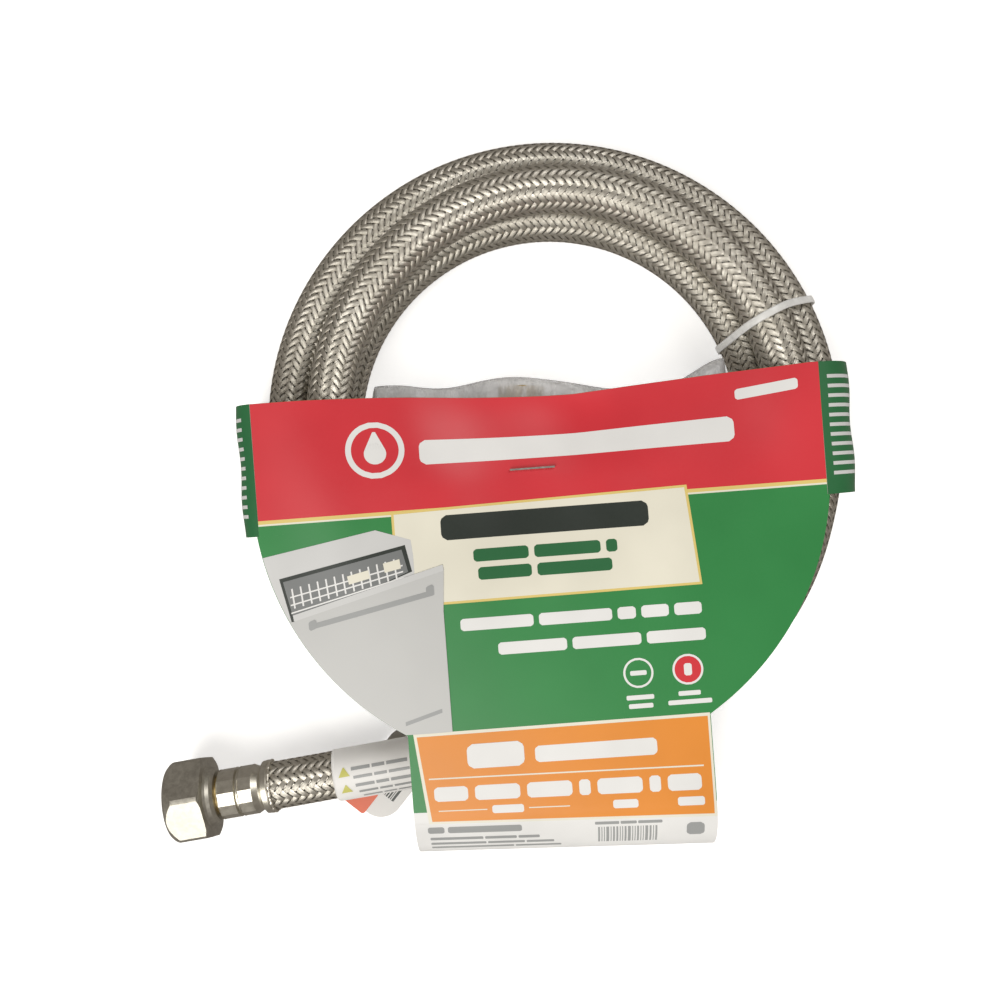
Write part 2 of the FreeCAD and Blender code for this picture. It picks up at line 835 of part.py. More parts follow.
def adapter(name, place, floor):
    """Standing adapter: a hexagon with a socket for a compression valve, a pipe thread above it."""
    socket = size(name + "_socket")
    depth = size("adapter_socket_depth")
    hexagon = size("adapter_hex_length")
    total = hexagon + size("adapter_pipe_length")
    flats = size("adapter_flats")
    turned = size("adapter_flats") / 2 + size("adapter_corner")
    thread = size("adapter_pipe_thread")
    way = size("adapter_way")
    label = "adapter_" + name
    frame = at(place[0], place[1], floor)
    body = new_body(label)
    pad_polygon(body, label + "_hexagon", 6, flats, total)
    revolve(
        body,
        "Groove",
        label + "_outside",
        [
            (turned - 1, 0),
            (turned, 1),
            (turned, hexagon - 0.8),
            (turned - 1, hexagon),
            (thread, hexagon),
            (thread - 0.3, total - 1),
            (thread - 1.3, total),
            (flats, total),
            (flats, 0),
        ],
    )
    revolve(
        body,
        "Groove",
        label + "_bore",
        [(0, 0), (socket + 0.6, 0), (socket, 0.6), (socket, depth), (way, depth), (way, total), (0, total)],
    )
    keep(body, label, frame)
    thick = size("socket_washer_thick")
    rim = socket - 0.3
    outline = [(way, depth - thick), (rim - 0.5, depth - thick), (rim, depth - thick / 2), (rim, depth), (way, depth)]
    turned_part(label + "_washer", outline, frame)


def elbow(floor):
    """Right-angle fitting: a pipe thread on one leg, a compression thread on the other."""
    side = size("elbow_side")
    half = side.value / 2
    centre = ELBOW_PLACE + Vector(0, 0, floor + half)
    along_x = Rotation(Vector(0, 1, 0), 90)
    along_y = Rotation(Vector(1, 0, 0), -90)
    block = primitive("Box", "elbow_block", at(centre.x - half, centre.y - half, floor),
                      Length=side, Width=side, Height=side)
    pipe = primitive("Cylinder", "elbow_pipe", Placement(centre, along_x),
                     Radius=size("elbow_pipe_thread") - 0.1, Height=side / 2 + size("elbow_pipe_length"))
    stub = primitive("Cylinder", "elbow_tube", Placement(centre, along_y),
                     Radius=size("elbow_tube_thread"), Height=side / 2 + size("elbow_tube_length"))
    pipe_way = primitive("Cylinder", "elbow_pipe_way", Placement(centre, along_x),
                         Radius=size("elbow_way"), Height=side + size("elbow_pipe_length"))
    tube_way = primitive("Cylinder", "elbow_tube_way", Placement(centre, along_y),
                         Radius=size("elbow_way"), Height=side + size("elbow_tube_length"))
    keep(cut("elbow_fitting", fuse("elbow_solid", block, pipe, stub), fuse("elbow_ways", pipe_way, tube_way)),
         "elbow_fitting")


# ---------------------------------------------------------------- labels


def wrap_label(points):
    """Label folded over the inlet tail, its lower part spread out over the floor beside the hose."""
    radius = SIZES["hose_diameter"] / 2 + SIZES["label_gap"]
    length = SIZES["label_length"]
    stations = rounded_path(points)[0].discretize(Distance=1.0)
    centre = stations[LABEL_FROM_FERRULE]
    along = (stations[LABEL_FROM_FERRULE + 8] - stations[LABEL_FROM_FERRULE - 8]).normalize()
    up = Vector(0, 0, 1)
    turn = Rotation(along, up.cross(along), up, "XZY")
    edge_end = Vector(0, -radius - SIZES["label_spread"], -SIZES["label_drop"])
    arc = Part.Arc(Vector(0, radius, 0), Vector(0, 0, radius), Vector(0, -radius, 0)).toShape()
    edge = Part.LineSegment(Vector(0, -radius, 0), edge_end).toShape()
    face = Part.Wire([arc, edge]).makeOffset2D(SIZES["label_thick"], 2, True, True, False)
    feature = doc.addObject("Part::Feature", "wrap_label")
    feature.Shape = face.extrude(Vector(length, 0, 0))
    keep(feature, "wrap_label", Placement(centre - along * (length / 2), turn))


def tag(label, width, length, corner, frame):
    """Flat tag with round corners."""
    body = new_body(label)
    sketch = new_sketch(body, "XY_Plane", label + "_sketch")
    add_outline(sketch, [(0, 0), (width, 0), (width, length), (0, length)])
    pad = body.newObject("PartDesign::Pad", label + "_pad")
    pad.Profile = sketch
    pad.setExpression("Length", size("label_thick").text)
    doc.recompute()
    upright = [
        "Edge" + str(index)
        for index, edge in enumerate(pad.Shape.Edges, start=1)
        if abs(edge.tangentAt(edge.FirstParameter).z) > 0.9
    ]
    fillet = body.newObject("PartDesign::Fillet", label + "_corners")
    fillet.Base = (pad, upright)
    fillet.setExpression("Radius", corner.text)
    doc.recompute()
    keep(body, label, frame)


def labels(inlet_points):
    """The folded label and the two flat ones that show beneath it."""
    wrap_label(inlet_points)
    tag("barcode_tag", size("tag_width"), size("tag_length"), size("tag_corner"), at(*TAG_PLACE, TAG_TURN))
    side = size("lot_label_side")
    tag("lot_label", side, side, side / 8, at(*LOT_LABEL_PLACE, TAG_TURN))


# ---------------------------------------------------------------- whole model


def direction(heading, slope):
    """Unit vector with a heading about Z and a slope from the floor, in degrees."""
    flat = math.cos(math.radians(slope))
    return Vector(
        flat * math.cos(math.radians(heading)), flat * math.sin(math.radians(heading)), math.sin(math.radians(slope))
    )


def move_to_origin():
    """Shift every sub-part so that the origin is the middle of the model's underside."""
    box = FreeCAD.BoundBox()
    for thing in parts:
        box.add(thing.Shape.optimalBoundingBox(False, False))
    shift = Vector(-box.Center.x, -box.Center.y, -box.ZMin)
    for thing in parts:
        thing.Placement = Placement(thing.Placement.Base + shift, thing.Placement.Rotation)
    print("layout moved by", [round(value, 4) for value in shift])
    print("size", [round(value, 2) for value in (box.XLength, box.YLength, box.ZLength)])
    for thing in parts:
        if thing.Label.endswith("_nut"):
            axis = thing.Placement.Rotation.multVec(Vector(0, 0, 1))
            print(thing.Label, "mouth", [round(value, 4) for value in thing.Placement.Base])
            print(thing.Label, "axis", [round(value, 6) for value in axis])


def check_and_write():
    """Stop if an object failed or a shape is not valid, then write one file for each sub-part."""
    failed = [thing.Name for thing in doc.Objects if {"Invalid", "Error"} & set(thing.State)]
    if failed:
        raise RuntimeError("failed objects: " + ", ".join(failed))
    for thing in parts:
        if thing.Shape.isNull() or not thing.Shape.isValid() or not thing.Shape.Solids:
            raise RuntimeError(thing.Label + " has no valid solid")
    os.makedirs("parts", exist_ok=True)
    for thing in parts:
        thing.Shape.exportStep("parts/" + thing.Label + ".step")
    print(len(parts), "sub-parts written")


def main():
    """Build the whole supply line."""
    fill_sheet()
    inlet_direction = direction(INLET_HEADING, 0)
    turned = SIZES["inlet_flats"] / 2 + SIZES["inlet_corner"]
    flat_edge = math.acos(SIZES["inlet_flats"] / 2 / turned)
    standing_height = turned * math.cos(flat_edge - math.radians(INLET_NUT_ROLL)) + 0.05
    inlet_frame = fitting_frame(INLET_MOUTH + Vector(0, 0, standing_height), inlet_direction)
    outlet_direction = direction(OUTLET_HEADING, OUTLET_SLOPE)
    outlet_stop = number(size("outlet_nut_length") + size("ferrule_gap") + size("ferrule_length"))
    outlet_mouth = OUTLET_HOSE_END + outlet_direction * (outlet_stop - SIZES["hose_insertion"])
    outlet_frame = fitting_frame(outlet_mouth, outlet_direction * -1)
    coil_start = Vector(SIZES["outer_turn"], 0, SIZES["coil_lift"] + SIZES["hose_diameter"] / 2)
    coil_end = Vector(-SIZES["top_turn_near"], 0, SIZES["coil_lift"] + SIZES["hose_diameter"] * 1.5)
    inlet_hose_end = hose_start("inlet", inlet_frame)
    inlet_points = [inlet_hose_end, inlet_hose_end + inlet_direction * STRAIGHT_RUN]
    inlet_points += [Vector(*point) for point in INLET_ROUTE] + [coil_start]
    outlet_points = [coil_end] + [Vector(*point) for point in OUTLET_ROUTE]
    outlet_points += [OUTLET_HOSE_END - outlet_direction * STRAIGHT_RUN, OUTLET_HOSE_END]
    coil()
    tail("inlet", inlet_points, inlet_frame)
    tail("outlet", outlet_points, outlet_frame)
    end_fitting("inlet", inlet_frame, INLET_NUT_ROLL)
    end_fitting("outlet", outlet_frame, 0)
    tie()
    card()
    floor = bag()
    for name, place in ADAPTER_PLACES.items():
        adapter(name, place, floor)
    elbow(floor)
    labels(inlet_points)
    doc.recompute()
    move_to_origin()
    check_and_write()


main()
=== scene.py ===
import logging
import math
from dataclasses import dataclass, field
from enum import Enum
from typing import Optional, Sequence, Union

import bpy
import numpy as np
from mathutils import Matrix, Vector


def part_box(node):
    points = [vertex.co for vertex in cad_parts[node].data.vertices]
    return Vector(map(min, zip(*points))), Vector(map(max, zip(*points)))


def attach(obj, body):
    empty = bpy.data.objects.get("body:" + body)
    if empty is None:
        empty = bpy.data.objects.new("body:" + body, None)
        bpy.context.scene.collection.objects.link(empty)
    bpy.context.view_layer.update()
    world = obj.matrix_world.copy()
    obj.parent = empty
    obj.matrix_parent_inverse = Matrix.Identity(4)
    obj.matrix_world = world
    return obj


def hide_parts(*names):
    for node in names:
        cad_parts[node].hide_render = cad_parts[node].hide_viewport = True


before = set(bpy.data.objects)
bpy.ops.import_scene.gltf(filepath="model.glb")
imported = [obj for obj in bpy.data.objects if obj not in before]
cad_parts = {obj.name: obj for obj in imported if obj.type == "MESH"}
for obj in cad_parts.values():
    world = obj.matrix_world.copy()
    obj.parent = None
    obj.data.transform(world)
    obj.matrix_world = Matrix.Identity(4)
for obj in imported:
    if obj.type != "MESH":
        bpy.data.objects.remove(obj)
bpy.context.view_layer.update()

log = logging.getLogger("supply_line")

MM = 0.001
ELBOW_CORNER = (-16.5, -16.5)
PACK = "pack"


def layout_shift() -> np.ndarray:
    """Shift in millimetres from the layout, whose centre is the coil's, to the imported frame."""
    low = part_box("elbow_fitting")[0]
    return np.array([low.x / MM - ELBOW_CORNER[0], low.y / MM - ELBOW_CORNER[1], 0.0])


SHIFT = layout_shift()


def to_frame(points: np.ndarray) -> np.ndarray:
    """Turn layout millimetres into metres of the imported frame."""
    return (np.asarray(points, float) + SHIFT) * MM


def smooth_step(values: np.ndarray) -> np.ndarray:
    """Rise from 0 to 1 as values go from 0 to 1, level at both ends."""
    clipped = np.clip(values, 0.0, 1.0)
    return clipped * clipped * (3 - 2 * clipped)


# ---------------------------------------------------------------- shader expressions


class Field:
    """A value socket that adds Math nodes when it is used in an expression."""

    def __init__(self, tree: bpy.types.NodeTree, socket: bpy.types.NodeSocket) -> None:
        self.tree = tree
        self.socket = socket

    def math(
        self, operation: str, first: "Operand", second: "Operand" = None, third: "Operand" = None
    ) -> "Field":
        """Add one Math node.

        Args:
            operation: the node's operation.
            first: its first operand.
            second: its second operand, if it has one.
            third: its third operand, if it has one.

        Returns:
            The node's result.
        """
        node = self.tree.nodes.new("ShaderNodeMath")
        node.operation = operation
        for index, operand in enumerate((first, second, third)):
            if isinstance(operand, Field):
                self.tree.links.new(operand.socket, node.inputs[index])
            elif operand is not None:
                node.inputs[index].default_value = operand
        return Field(self.tree, node.outputs[0])

    def __add__(self, other: "Operand") -> "Field":
        """Sum."""
        return self.math("ADD", self, other)

    __radd__ = __add__

    def __sub__(self, other: "Operand") -> "Field":
        """Difference."""
        return self.math("SUBTRACT", self, other)

    def __rsub__(self, other: "Operand") -> "Field":
        """Difference from a number."""
        return self.math("SUBTRACT", other, self)

    def __mul__(self, other: "Operand") -> "Field":
        """Product."""
        return self.math("MULTIPLY", self, other)

    __rmul__ = __mul__

    def __truediv__(self, other: "Operand") -> "Field":
        """Quotient."""
        return self.math("DIVIDE", self, other)

    def sine(self) -> "Field":
        """Sine."""
        return self.math("SINE", self)

    def size(self) -> "Field":
        """Value without its sign."""
        return self.math("ABSOLUTE", self)

    def rise(self, low: float, high: float) -> "Field":
        """Go smoothly from 0 at low to 1 at high."""
        node = self.tree.nodes.new("ShaderNodeMapRange")
        node.interpolation_type = "SMOOTHSTEP"
        self.tree.links.new(self.socket, node.inputs["Value"])
        node.inputs["From Min"].default_value = low
        node.inputs["From Max"].default_value = high
        return Field(self.tree, node.outputs["Result"])


Operand = Union[Field, float, None]
Colour = tuple[float, float, float]


class Surface:
    """A material under construction: one Principled shader and the nodes that feed it."""

    def __init__(self, name: str) -> None:
        self.material = bpy.data.materials.new(name)
        self.material.use_nodes = True
        self.tree = self.material.node_tree
        self.tree.nodes.clear()
        output = self.tree.nodes.new("ShaderNodeOutputMaterial")
        self.shader = self.tree.nodes.new("ShaderNodeBsdfPrincipled")
        self.tree.links.new(self.shader.outputs["BSDF"], output.inputs["Surface"])

    def node(self, kind: str, settings: dict, inputs: dict, output: Union[int, str] = 0) -> Field:
        """Add any node.

        Args:
            kind: the node's type.
            settings: its properties, set first; "stops" fills a ramp with (place, colour) pairs.
            inputs: values or links of its sockets, by name or index.
            output: which output to hand back.

        Returns:
            The chosen output.
        """
        node = self.tree.nodes.new(kind)
        for name, value in settings.items():
            if name == "stops":
                self.fill_ramp(node.color_ramp, value)
            else:
                setattr(node, name, value)
        for name, value in inputs.items():
            if isinstance(value, Field):
                self.tree.links.new(value.socket, node.inputs[name])
            else:
                node.inputs[name].default_value = value
        return Field(self.tree, node.outputs[output])

    @staticmethod
    def fill_ramp(ramp: bpy.types.ColorRamp, stops: Sequence[tuple[float, Colour]]) -> None:
        """Give a colour ramp its stops."""
        while len(ramp.elements) < len(stops):
            ramp.elements.new(1.0)
        for element, (place, colour) in zip(ramp.elements, stops):
            element.position = place
            element.color = (*colour, 1.0)

    def place(self) -> Field:
        """The point on the piece, in metres."""
        return self.node("ShaderNodeTexCoord", {}, {}, "Object")

    def along(self, name: str) -> Field:
        """A piece's own UV map."""
        return self.node("ShaderNodeUVMap", {"uv_map": name}, {}, "UV")

    def split(self, vector: Field) -> tuple[Field, Field, Field]:
        """X, Y and Z of a vector."""
        node = self.tree.nodes.new("ShaderNodeSeparateXYZ")
        self.tree.links.new(vector.socket, node.inputs[0])
        return tuple(Field(self.tree, socket) for socket in node.outputs)

    def stretched(self, vector: Field, scale: Sequence[float], turn: float = 0.0) -> Field:
        """A vector scaled and turned about Z by a Mapping node."""
        inputs = {"Vector": vector, "Scale": scale, "Rotation": (0, 0, turn)}
        return self.node("ShaderNodeMapping", {}, inputs)

    def noise(self, vector: Field, scale: float, detail: float = 3.0, roughness: float = 0.55) -> Field:
        """Cloudy pattern from 0 to 1."""
        return self.node("ShaderNodeTexNoise", {"noise_dimensions": "3D"},
                         {"Vector": vector, "Scale": scale, "Detail": detail, "Roughness": roughness}, "Fac")

    def cells(self, vector: Field, scale: float) -> Field:
        """Distance to the nearest of scattered points."""
        return self.node("ShaderNodeTexVoronoi", {}, {"Vector": vector, "Scale": scale}, "Distance")

    def blend(self, factor: Operand, first: Union[Field, Colour], second: Union[Field, Colour]) -> Field:
        """Mix two colours."""
        node = self.tree.nodes.new("ShaderNodeMix")
        node.data_type = "RGBA"
        for socket, value in ((node.inputs[0], factor), (node.inputs[6], first), (node.inputs[7], second)):
            if isinstance(value, Field):
                self.tree.links.new(value.socket, socket)
            else:
                socket.default_value = (*value, 1.0) if isinstance(value, tuple) else value
        return Field(self.tree, node.outputs[2])

    def ramp(self, value: Field, stops: Sequence[tuple[float, Colour]]) -> Field:
        """Colour for a value."""
        return self.node("ShaderNodeValToRGB", {"stops": stops}, {0: value})

    def bump(self, height: Field, strength: float, depth: float) -> Field:
        """Normal of a surface raised by a height, whose full rise is the depth in metres."""
        return self.node("ShaderNodeBump", {}, {"Height": height, "Strength": strength, "Distance": depth})

    def finish(self, **sockets: Union[Field, Colour, float]) -> bpy.types.Material:
        """Set or link sockets of the shader, with underscores for spaces, and hand back the material."""
        for name, value in sockets.items():
            socket = self.shader.inputs[name.replace("_", " ")]
            if isinstance(value, Field):
                self.tree.links.new(value.socket, socket)
            else:
                is_colour = isinstance(value, tuple) and len(value) == 3
                socket.default_value = (*value, 1.0) if is_colour else value
        return self.material


# ---------------------------------------------------------------- finishes


@dataclass(frozen=True)
class WovenWire:
    """Bright wires side by side in one band of the braid, read from the band's own map, with painted shade in
    the grooves between them.
    """

    bright: Colour = (0.84, 0.805, 0.72)
    dull: Colour = (0.60, 0.565, 0.49)
    wires: int = 5
    band_map: str = "BandMap"

    def material(self) -> bpy.types.Material:
        """Build the material."""
        surface = Surface("woven_wire")
        across, run, _ = surface.split(surface.along(self.band_map))
        ridges = (across * (math.pi * self.wires)).sine().size()
        tone = surface.noise(surface.place(), 900.0, 2.0)
        patches = surface.noise(surface.place(), 70.0, 3.0)
        worn = (tone * 0.55 + patches * 0.75).rise(0.35, 0.95)
        # Painted shade: in the grooves between the wires the colour is pulled 40% toward dark brown.
        painted_groove_shade = ridges.rise(0.05, 0.55)
        colour = surface.blend(worn, self.dull, self.bright)
        colour = surface.blend(painted_groove_shade, surface.blend(0.40, colour, (0.16, 0.14, 0.11)), colour)
        scratches = (run * 9000.0).sine()
        return surface.finish(
            Base_Color=colour,
            Metallic=1.0,
            Roughness=0.46 - worn * 0.12 + scratches * 0.01,
            Normal=surface.bump(ridges, 0.55, 0.00012),
        )


@dataclass(frozen=True)
class SatinPlate:
    """Warm nickel plate with a mottled cast and fine tool marks."""

    name: str
    bright: Colour = (0.66, 0.635, 0.56)
    dull: Colour = (0.44, 0.42, 0.365)
    mottle_scale: float = 700.0
    roughness: float = 0.38
    grain: float = 0.22

    def material(self) -> bpy.types.Material:
        """Build the material."""
        surface = Surface(self.name)
        place = surface.place()
        mottle = surface.noise(place, self.mottle_scale, 5.0, 0.7)
        cloud = surface.noise(place, 110.0, 2.0)
        pits = surface.cells(place, 1300.0)
        marks = surface.noise(surface.stretched(place, (200.0, 5200.0, 5200.0), 0.17), 1.0, 2.0)
        blend = (mottle * 0.8 + cloud * 0.4).rise(0.35, 0.85)
        height = mottle * 0.6 + pits * 0.25 + marks * 0.3
        return surface.finish(
            Base_Color=surface.blend(blend, self.dull, self.bright),
            Metallic=1.0,
            Roughness=mottle * 0.22 + (self.roughness - 0.08),
            Normal=surface.bump(height, self.grain, 0.00008),
        )


@dataclass(frozen=True)
class Rubber:
    """Dull black rubber with a faint bloom."""

    name: str
    colour: Colour = (0.030, 0.027, 0.024)

    def material(self) -> bpy.types.Material:
        """Build the material."""
        surface = Surface(self.name)
        place = surface.place()
        bloom = surface.noise(place, 240.0, 3.0)
        lighter = tuple(value * 2.4 for value in self.colour)
        return surface.finish(
            Base_Color=surface.blend(bloom.rise(0.45, 0.8), self.colour, lighter),
            Roughness=bloom * 0.2 + 0.55,
            Normal=surface.bump(surface.noise(place, 2500.0, 2.0), 0.2, 0.00005),
        )


@dataclass(frozen=True)
class Ink:
    """Printed, coated card: even colour with slight mottle, rub marks and a soft gloss."""

    name: str
    colour: Colour
    shade: float = 0.86
    gloss: float = 0.34
    rub: float = 0.05

    def material(self) -> bpy.types.Material:
        """Build the material."""
        surface = Surface(self.name)
        place = surface.place()
        cloud = surface.noise(place, 22.0, 3.0)
        speck = surface.noise(place, 1500.0, 2.0)
        darker = tuple(value * self.shade for value in self.colour)
        base = surface.blend(cloud.rise(0.25, 0.75), darker, self.colour)
        worn = surface.noise(surface.stretched(place, (60.0, 900.0, 900.0), 0.4), 1.0, 4.0).rise(0.68, 0.86)
        pale = tuple(min(1.0, value * 0.8 + 0.2) for value in self.colour)
        fibres = surface.noise(surface.stretched(place, (1400.0, 420.0, 900.0), 0.9), 1.0, 3.0)
        return surface.finish(
            Base_Color=surface.blend(worn * self.rub, base, pale),
            Roughness=speck * 0.12 + cloud * 0.12 + self.gloss - 0.1,
            Normal=surface.bump(fibres * 0.6 + cloud * 0.8, 0.12, 0.00012),
        )


@dataclass(frozen=True)
class BareBoard:
    """Uncoated side and cut edge of the card."""

    name: str = "bare_board"
    colour: Colour = (0.66, 0.64, 0.60)

    def material(self) -> bpy.types.Material:
        """Build the material."""
        surface = Surface(self.name)
        place = surface.place()
        fibres = surface.noise(surface.stretched(place, (900.0, 260.0, 600.0), 0.6), 1.0, 4.0, 0.7)
        flecks = surface.cells(place, 420.0).rise(0.0, 0.12)
        dull = tuple(value * 0.8 for value in self.colour)
        base = surface.blend(fibres.rise(0.3, 0.75), dull, self.colour)
        return surface.finish(
            Base_Color=surface.blend(flecks, surface.blend(0.5, base, (0.30, 0.27, 0.22)), base),
            Roughness=fibres * 0.15 + 0.72,
            Normal=surface.bump(fibres, 0.25, 0.0001),
        )


@dataclass(frozen=True)
class ClearFilm:
    """Thin clear bag film: creases catch the light and whiten a little."""

    name: str = "clear_film"
    colour: Colour = (0.90, 0.90, 0.91)

    def material(self) -> bpy.types.Material:
        """Build the material."""
        surface = Surface(self.name)
        place = surface.place()
        warp = surface.noise(place, 45.0, 4.0, 0.6)
        folds = surface.noise(surface.stretched(place, (90.0, 34.0, 60.0), 0.5), 1.0, 5.0, 0.65)
        crease = (folds - 0.5).size().rise(0.0, 0.10)
        # Crease lines lighter and more opaque: partly a painted highlight where the creases catch the light,
        # partly real whitening of the film.
        crease_glint_and_whitening = 1.0 - crease
        return surface.finish(
            Base_Color=surface.blend(crease_glint_and_whitening * 0.5, (0.78, 0.78, 0.79), self.colour),
            Roughness=warp * 0.18 + 0.10,
            Alpha=crease_glint_and_whitening * 0.25 + warp * 0.15 + 0.25,
            Normal=surface.bump(folds + warp * 0.5, 0.55, 0.0012),
        )


@dataclass(frozen=True)
class SmoothPlastic:
    """Moulded plastic with a faint flow pattern."""

    name: str
    colour: Colour
    gloss: float = 0.3

    def material(self) -> bpy.types.Material:
        """Build the material."""
        surface = Surface(self.name)
        place = surface.place()
        flow = surface.noise(surface.stretched(place, (40.0, 300.0, 300.0)), 1.0, 3.0)
        darker = tuple(value * 0.86 for value in self.colour)
        return surface.finish(
            Base_Color=surface.blend(flow.rise(0.3, 0.7), darker, self.colour),
            Roughness=flow * 0.15 + self.gloss - 0.08,
            Normal=surface.bump(flow, 0.1, 0.00008),
        )


@dataclass(frozen=True)
class StudioFloor:
    """Pale, matt floor sheet."""

    colour: Colour = (0.93, 0.93, 0.925)
    glow: float = 0.50

    def material(self) -> bpy.types.Material:
        """Build the material."""
        surface = Surface("studio_floor")
        cloud = surface.noise(surface.place(), 3.0, 2.0)
        darker = tuple(value * 0.985 for value in self.colour)
        return surface.finish(
            Base_Color=surface.blend(cloud, darker, self.colour),
            Roughness=0.9,
            Emission_Color=(1.0, 1.0, 1.0),
            Emission_Strength=self.glow,
        )


class Finish(Enum):
    """Every finish of the pack, by name."""

    BRAID = WovenWire()
    LINER = Rubber("hose_liner")
    WASHER = Rubber("washer_rubber", (0.022, 0.022, 0.024))
    NUT = SatinPlate("plated_nut")
    FERRULE = SatinPlate("steel_ferrule", (0.72, 0.69, 0.61), (0.55, 0.525, 0.45), 480.0, 0.33, 0.10)
    INSERT = SatinPlate("brass_insert", (0.80, 0.62, 0.30), (0.62, 0.45, 0.20), 520.0, 0.26, 0.08)
    FITTING = SatinPlate("brass_fitting", (0.84, 0.66, 0.33), (0.66, 0.49, 0.22), 460.0, 0.24, 0.08)
    STAPLE = SatinPlate("staple_wire", (0.86, 0.84, 0.80), (0.66, 0.64, 0.60), 900.0, 0.2, 0.04)
    TIE = SmoothPlastic("tie_plastic", (0.84, 0.84, 0.82))
    FILM = ClearFilm()
    BOARD = BareBoard()
    GREEN = Ink("green_ink", (0.030, 0.250, 0.062))
    DEEP_GREEN = Ink("deep_green_ink", (0.022, 0.150, 0.050))
    RED = Ink("red_ink", (0.690, 0.034, 0.048))
    GOLD = Ink("gold_ink", (0.80, 0.62, 0.20))
    CREAM = Ink("cream_ink", (0.86, 0.83, 0.70))
    WHITE = Ink("white_ink", (0.86, 0.86, 0.85))
    ORANGE = Ink("orange_ink", (0.83, 0.29, 0.035))
    PALE_GREY = Ink("pale_grey_ink", (0.66, 0.665, 0.66))
    SILVER = Ink("silver_ink", (0.56, 0.565, 0.555), 0.93)
    MID_GREY = Ink("mid_grey_ink", (0.36, 0.37, 0.37))
    COOL_GREY = Ink("cool_grey_ink", (0.20, 0.21, 0.21))
    DARK_GREY = Ink("dark_grey_ink", (0.022, 0.030, 0.024))
    LABEL = Ink("label_paper", (0.83, 0.82, 0.80), 0.94, 0.42)
    YELLOW = Ink("yellow_ink", (0.62, 0.60, 0.16))
    ORANGE_LABEL = Ink("lot_paper", (0.80, 0.13, 0.04))

    def dress(self) -> bpy.types.Material:
        """The finish's material, made once."""
        if self not in MADE_FINISHES:
            MADE_FINISHES[self] = self.value.material()
        return MADE_FINISHES[self]


MADE_FINISHES: dict = {}


# ---------------------------------------------------------------- meshes from arrays


def mesh_piece(
    name: str,
    points: np.ndarray,
    faces: np.ndarray,
    finishes: Sequence[Finish],
    face_finish: Optional[np.ndarray] = None,
    band_map: Optional[np.ndarray] = None,
    smooth: Union[bool, np.ndarray] = True,
) -> bpy.types.Object:
    """Make a mesh object that rides on the pack.

    Args:
        name: the piece's name.
        points: vertices in layout millimetres.
        faces: quads as rows of vertex numbers.
        finishes: its finishes.
        face_finish: which finish each face takes.
        band_map: a U and a V for each vertex.
        smooth: whether it is shaded smooth, for all faces or for each.

    Returns:
        The object.
    """
    mesh = bpy.data.meshes.new(name)
    flat = to_frame(points.reshape(-1, 3))
    mesh.vertices.add(len(flat))
    mesh.vertices.foreach_set("co", flat.astype(np.float32).ravel())
    count = len(faces)
    mesh.loops.add(count * 4)
    mesh.loops.foreach_set("vertex_index", faces.astype(np.int32).ravel())
    mesh.polygons.add(count)
    mesh.polygons.foreach_set("loop_start", np.arange(0, count * 4, 4, dtype=np.int32))
    mesh.polygons.foreach_set("use_smooth", np.broadcast_to(smooth, count).tolist())
    for finish in finishes:
        mesh.materials.append(finish.dress())
    if face_finish is not None:
        mesh.polygons.foreach_set("material_index", face_finish.astype(np.int32))
    if band_map is not None:
        layer = mesh.uv_layers.new(name=WovenWire.band_map)
        layer.data.foreach_set("uv", band_map[faces.ravel()].astype(np.float32).ravel())
    mesh.update(calc_edges=True)
    mesh.validate()
    if not isinstance(smooth, bool):
        mesh.set_sharp_from_angle(angle=math.radians(50))
    piece = bpy.data.objects.new(name, mesh)
    bpy.context.scene.collection.objects.link(piece)
    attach(piece, PACK)
    return piece


def grid_faces(rows: int, columns: int, closed: bool = False, start: int = 0) -> np.ndarray:
    """Quads of a grid whose columns may run round, numbered row by row from start."""
    across = columns if closed else columns - 1
    row, column = np.meshgrid(np.arange(rows - 1), np.arange(across), indexing="ij")
    following = (column + 1) % columns
    corners = [row * columns + column, row * columns + following, (row + 1) * columns + following,
               (row + 1) * columns + column]
    return np.stack(corners, axis=-1).reshape(-1, 4) + start


def surface_normals(grid: np.ndarray) -> np.ndarray:
    """Unit normals of a grid: the cross product of its two central differences."""
    normal = np.cross(np.gradient(grid, axis=0), np.gradient(grid, axis=1))
    return normal / np.linalg.norm(normal, axis=-1, keepdims=True)


def shell(grid: np.ndarray, thickness: float, start: int = 0) -> tuple[np.ndarray, np.ndarray, np.ndarray]:
    """Thicken an open grid into a closed sheet.

    The grid is the upper side. The lower side is the same grid moved along its normals by the thickness,
    and four strips join their borders.

    Args:
        grid: rows by columns by 3, seen from above with rows going down and columns to the right.
        thickness: how far the lower side lies below.
        start: number of the first vertex.

    Returns:
        Vertices, quads and, for each quad, 0 on the upper side, 1 on the lower and 2 on the rim.
    """
    rows, columns = grid.shape[:2]
    lower = grid - surface_normals(grid) * thickness
    points = np.concatenate([grid.reshape(-1, 3), lower.reshape(-1, 3)])
    upper_faces = grid_faces(rows, columns)[:, ::-1]
    lower_faces = grid_faces(rows, columns, start=rows * columns)
    number = np.arange(rows * columns).reshape(rows, columns)
    border = np.concatenate([number[0, :-1], number[:-1, -1], number[-1, :0:-1], number[:0:-1, 0]])
    following = np.roll(border, -1)
    below = rows * columns
    rim = np.stack([border, following, following + below, border + below], axis=-1)
    faces = np.concatenate([upper_faces, lower_faces, rim])
    side = np.repeat((0, 1, 2), (len(upper_faces), len(lower_faces), len(rim)))
    return points, faces + start, side


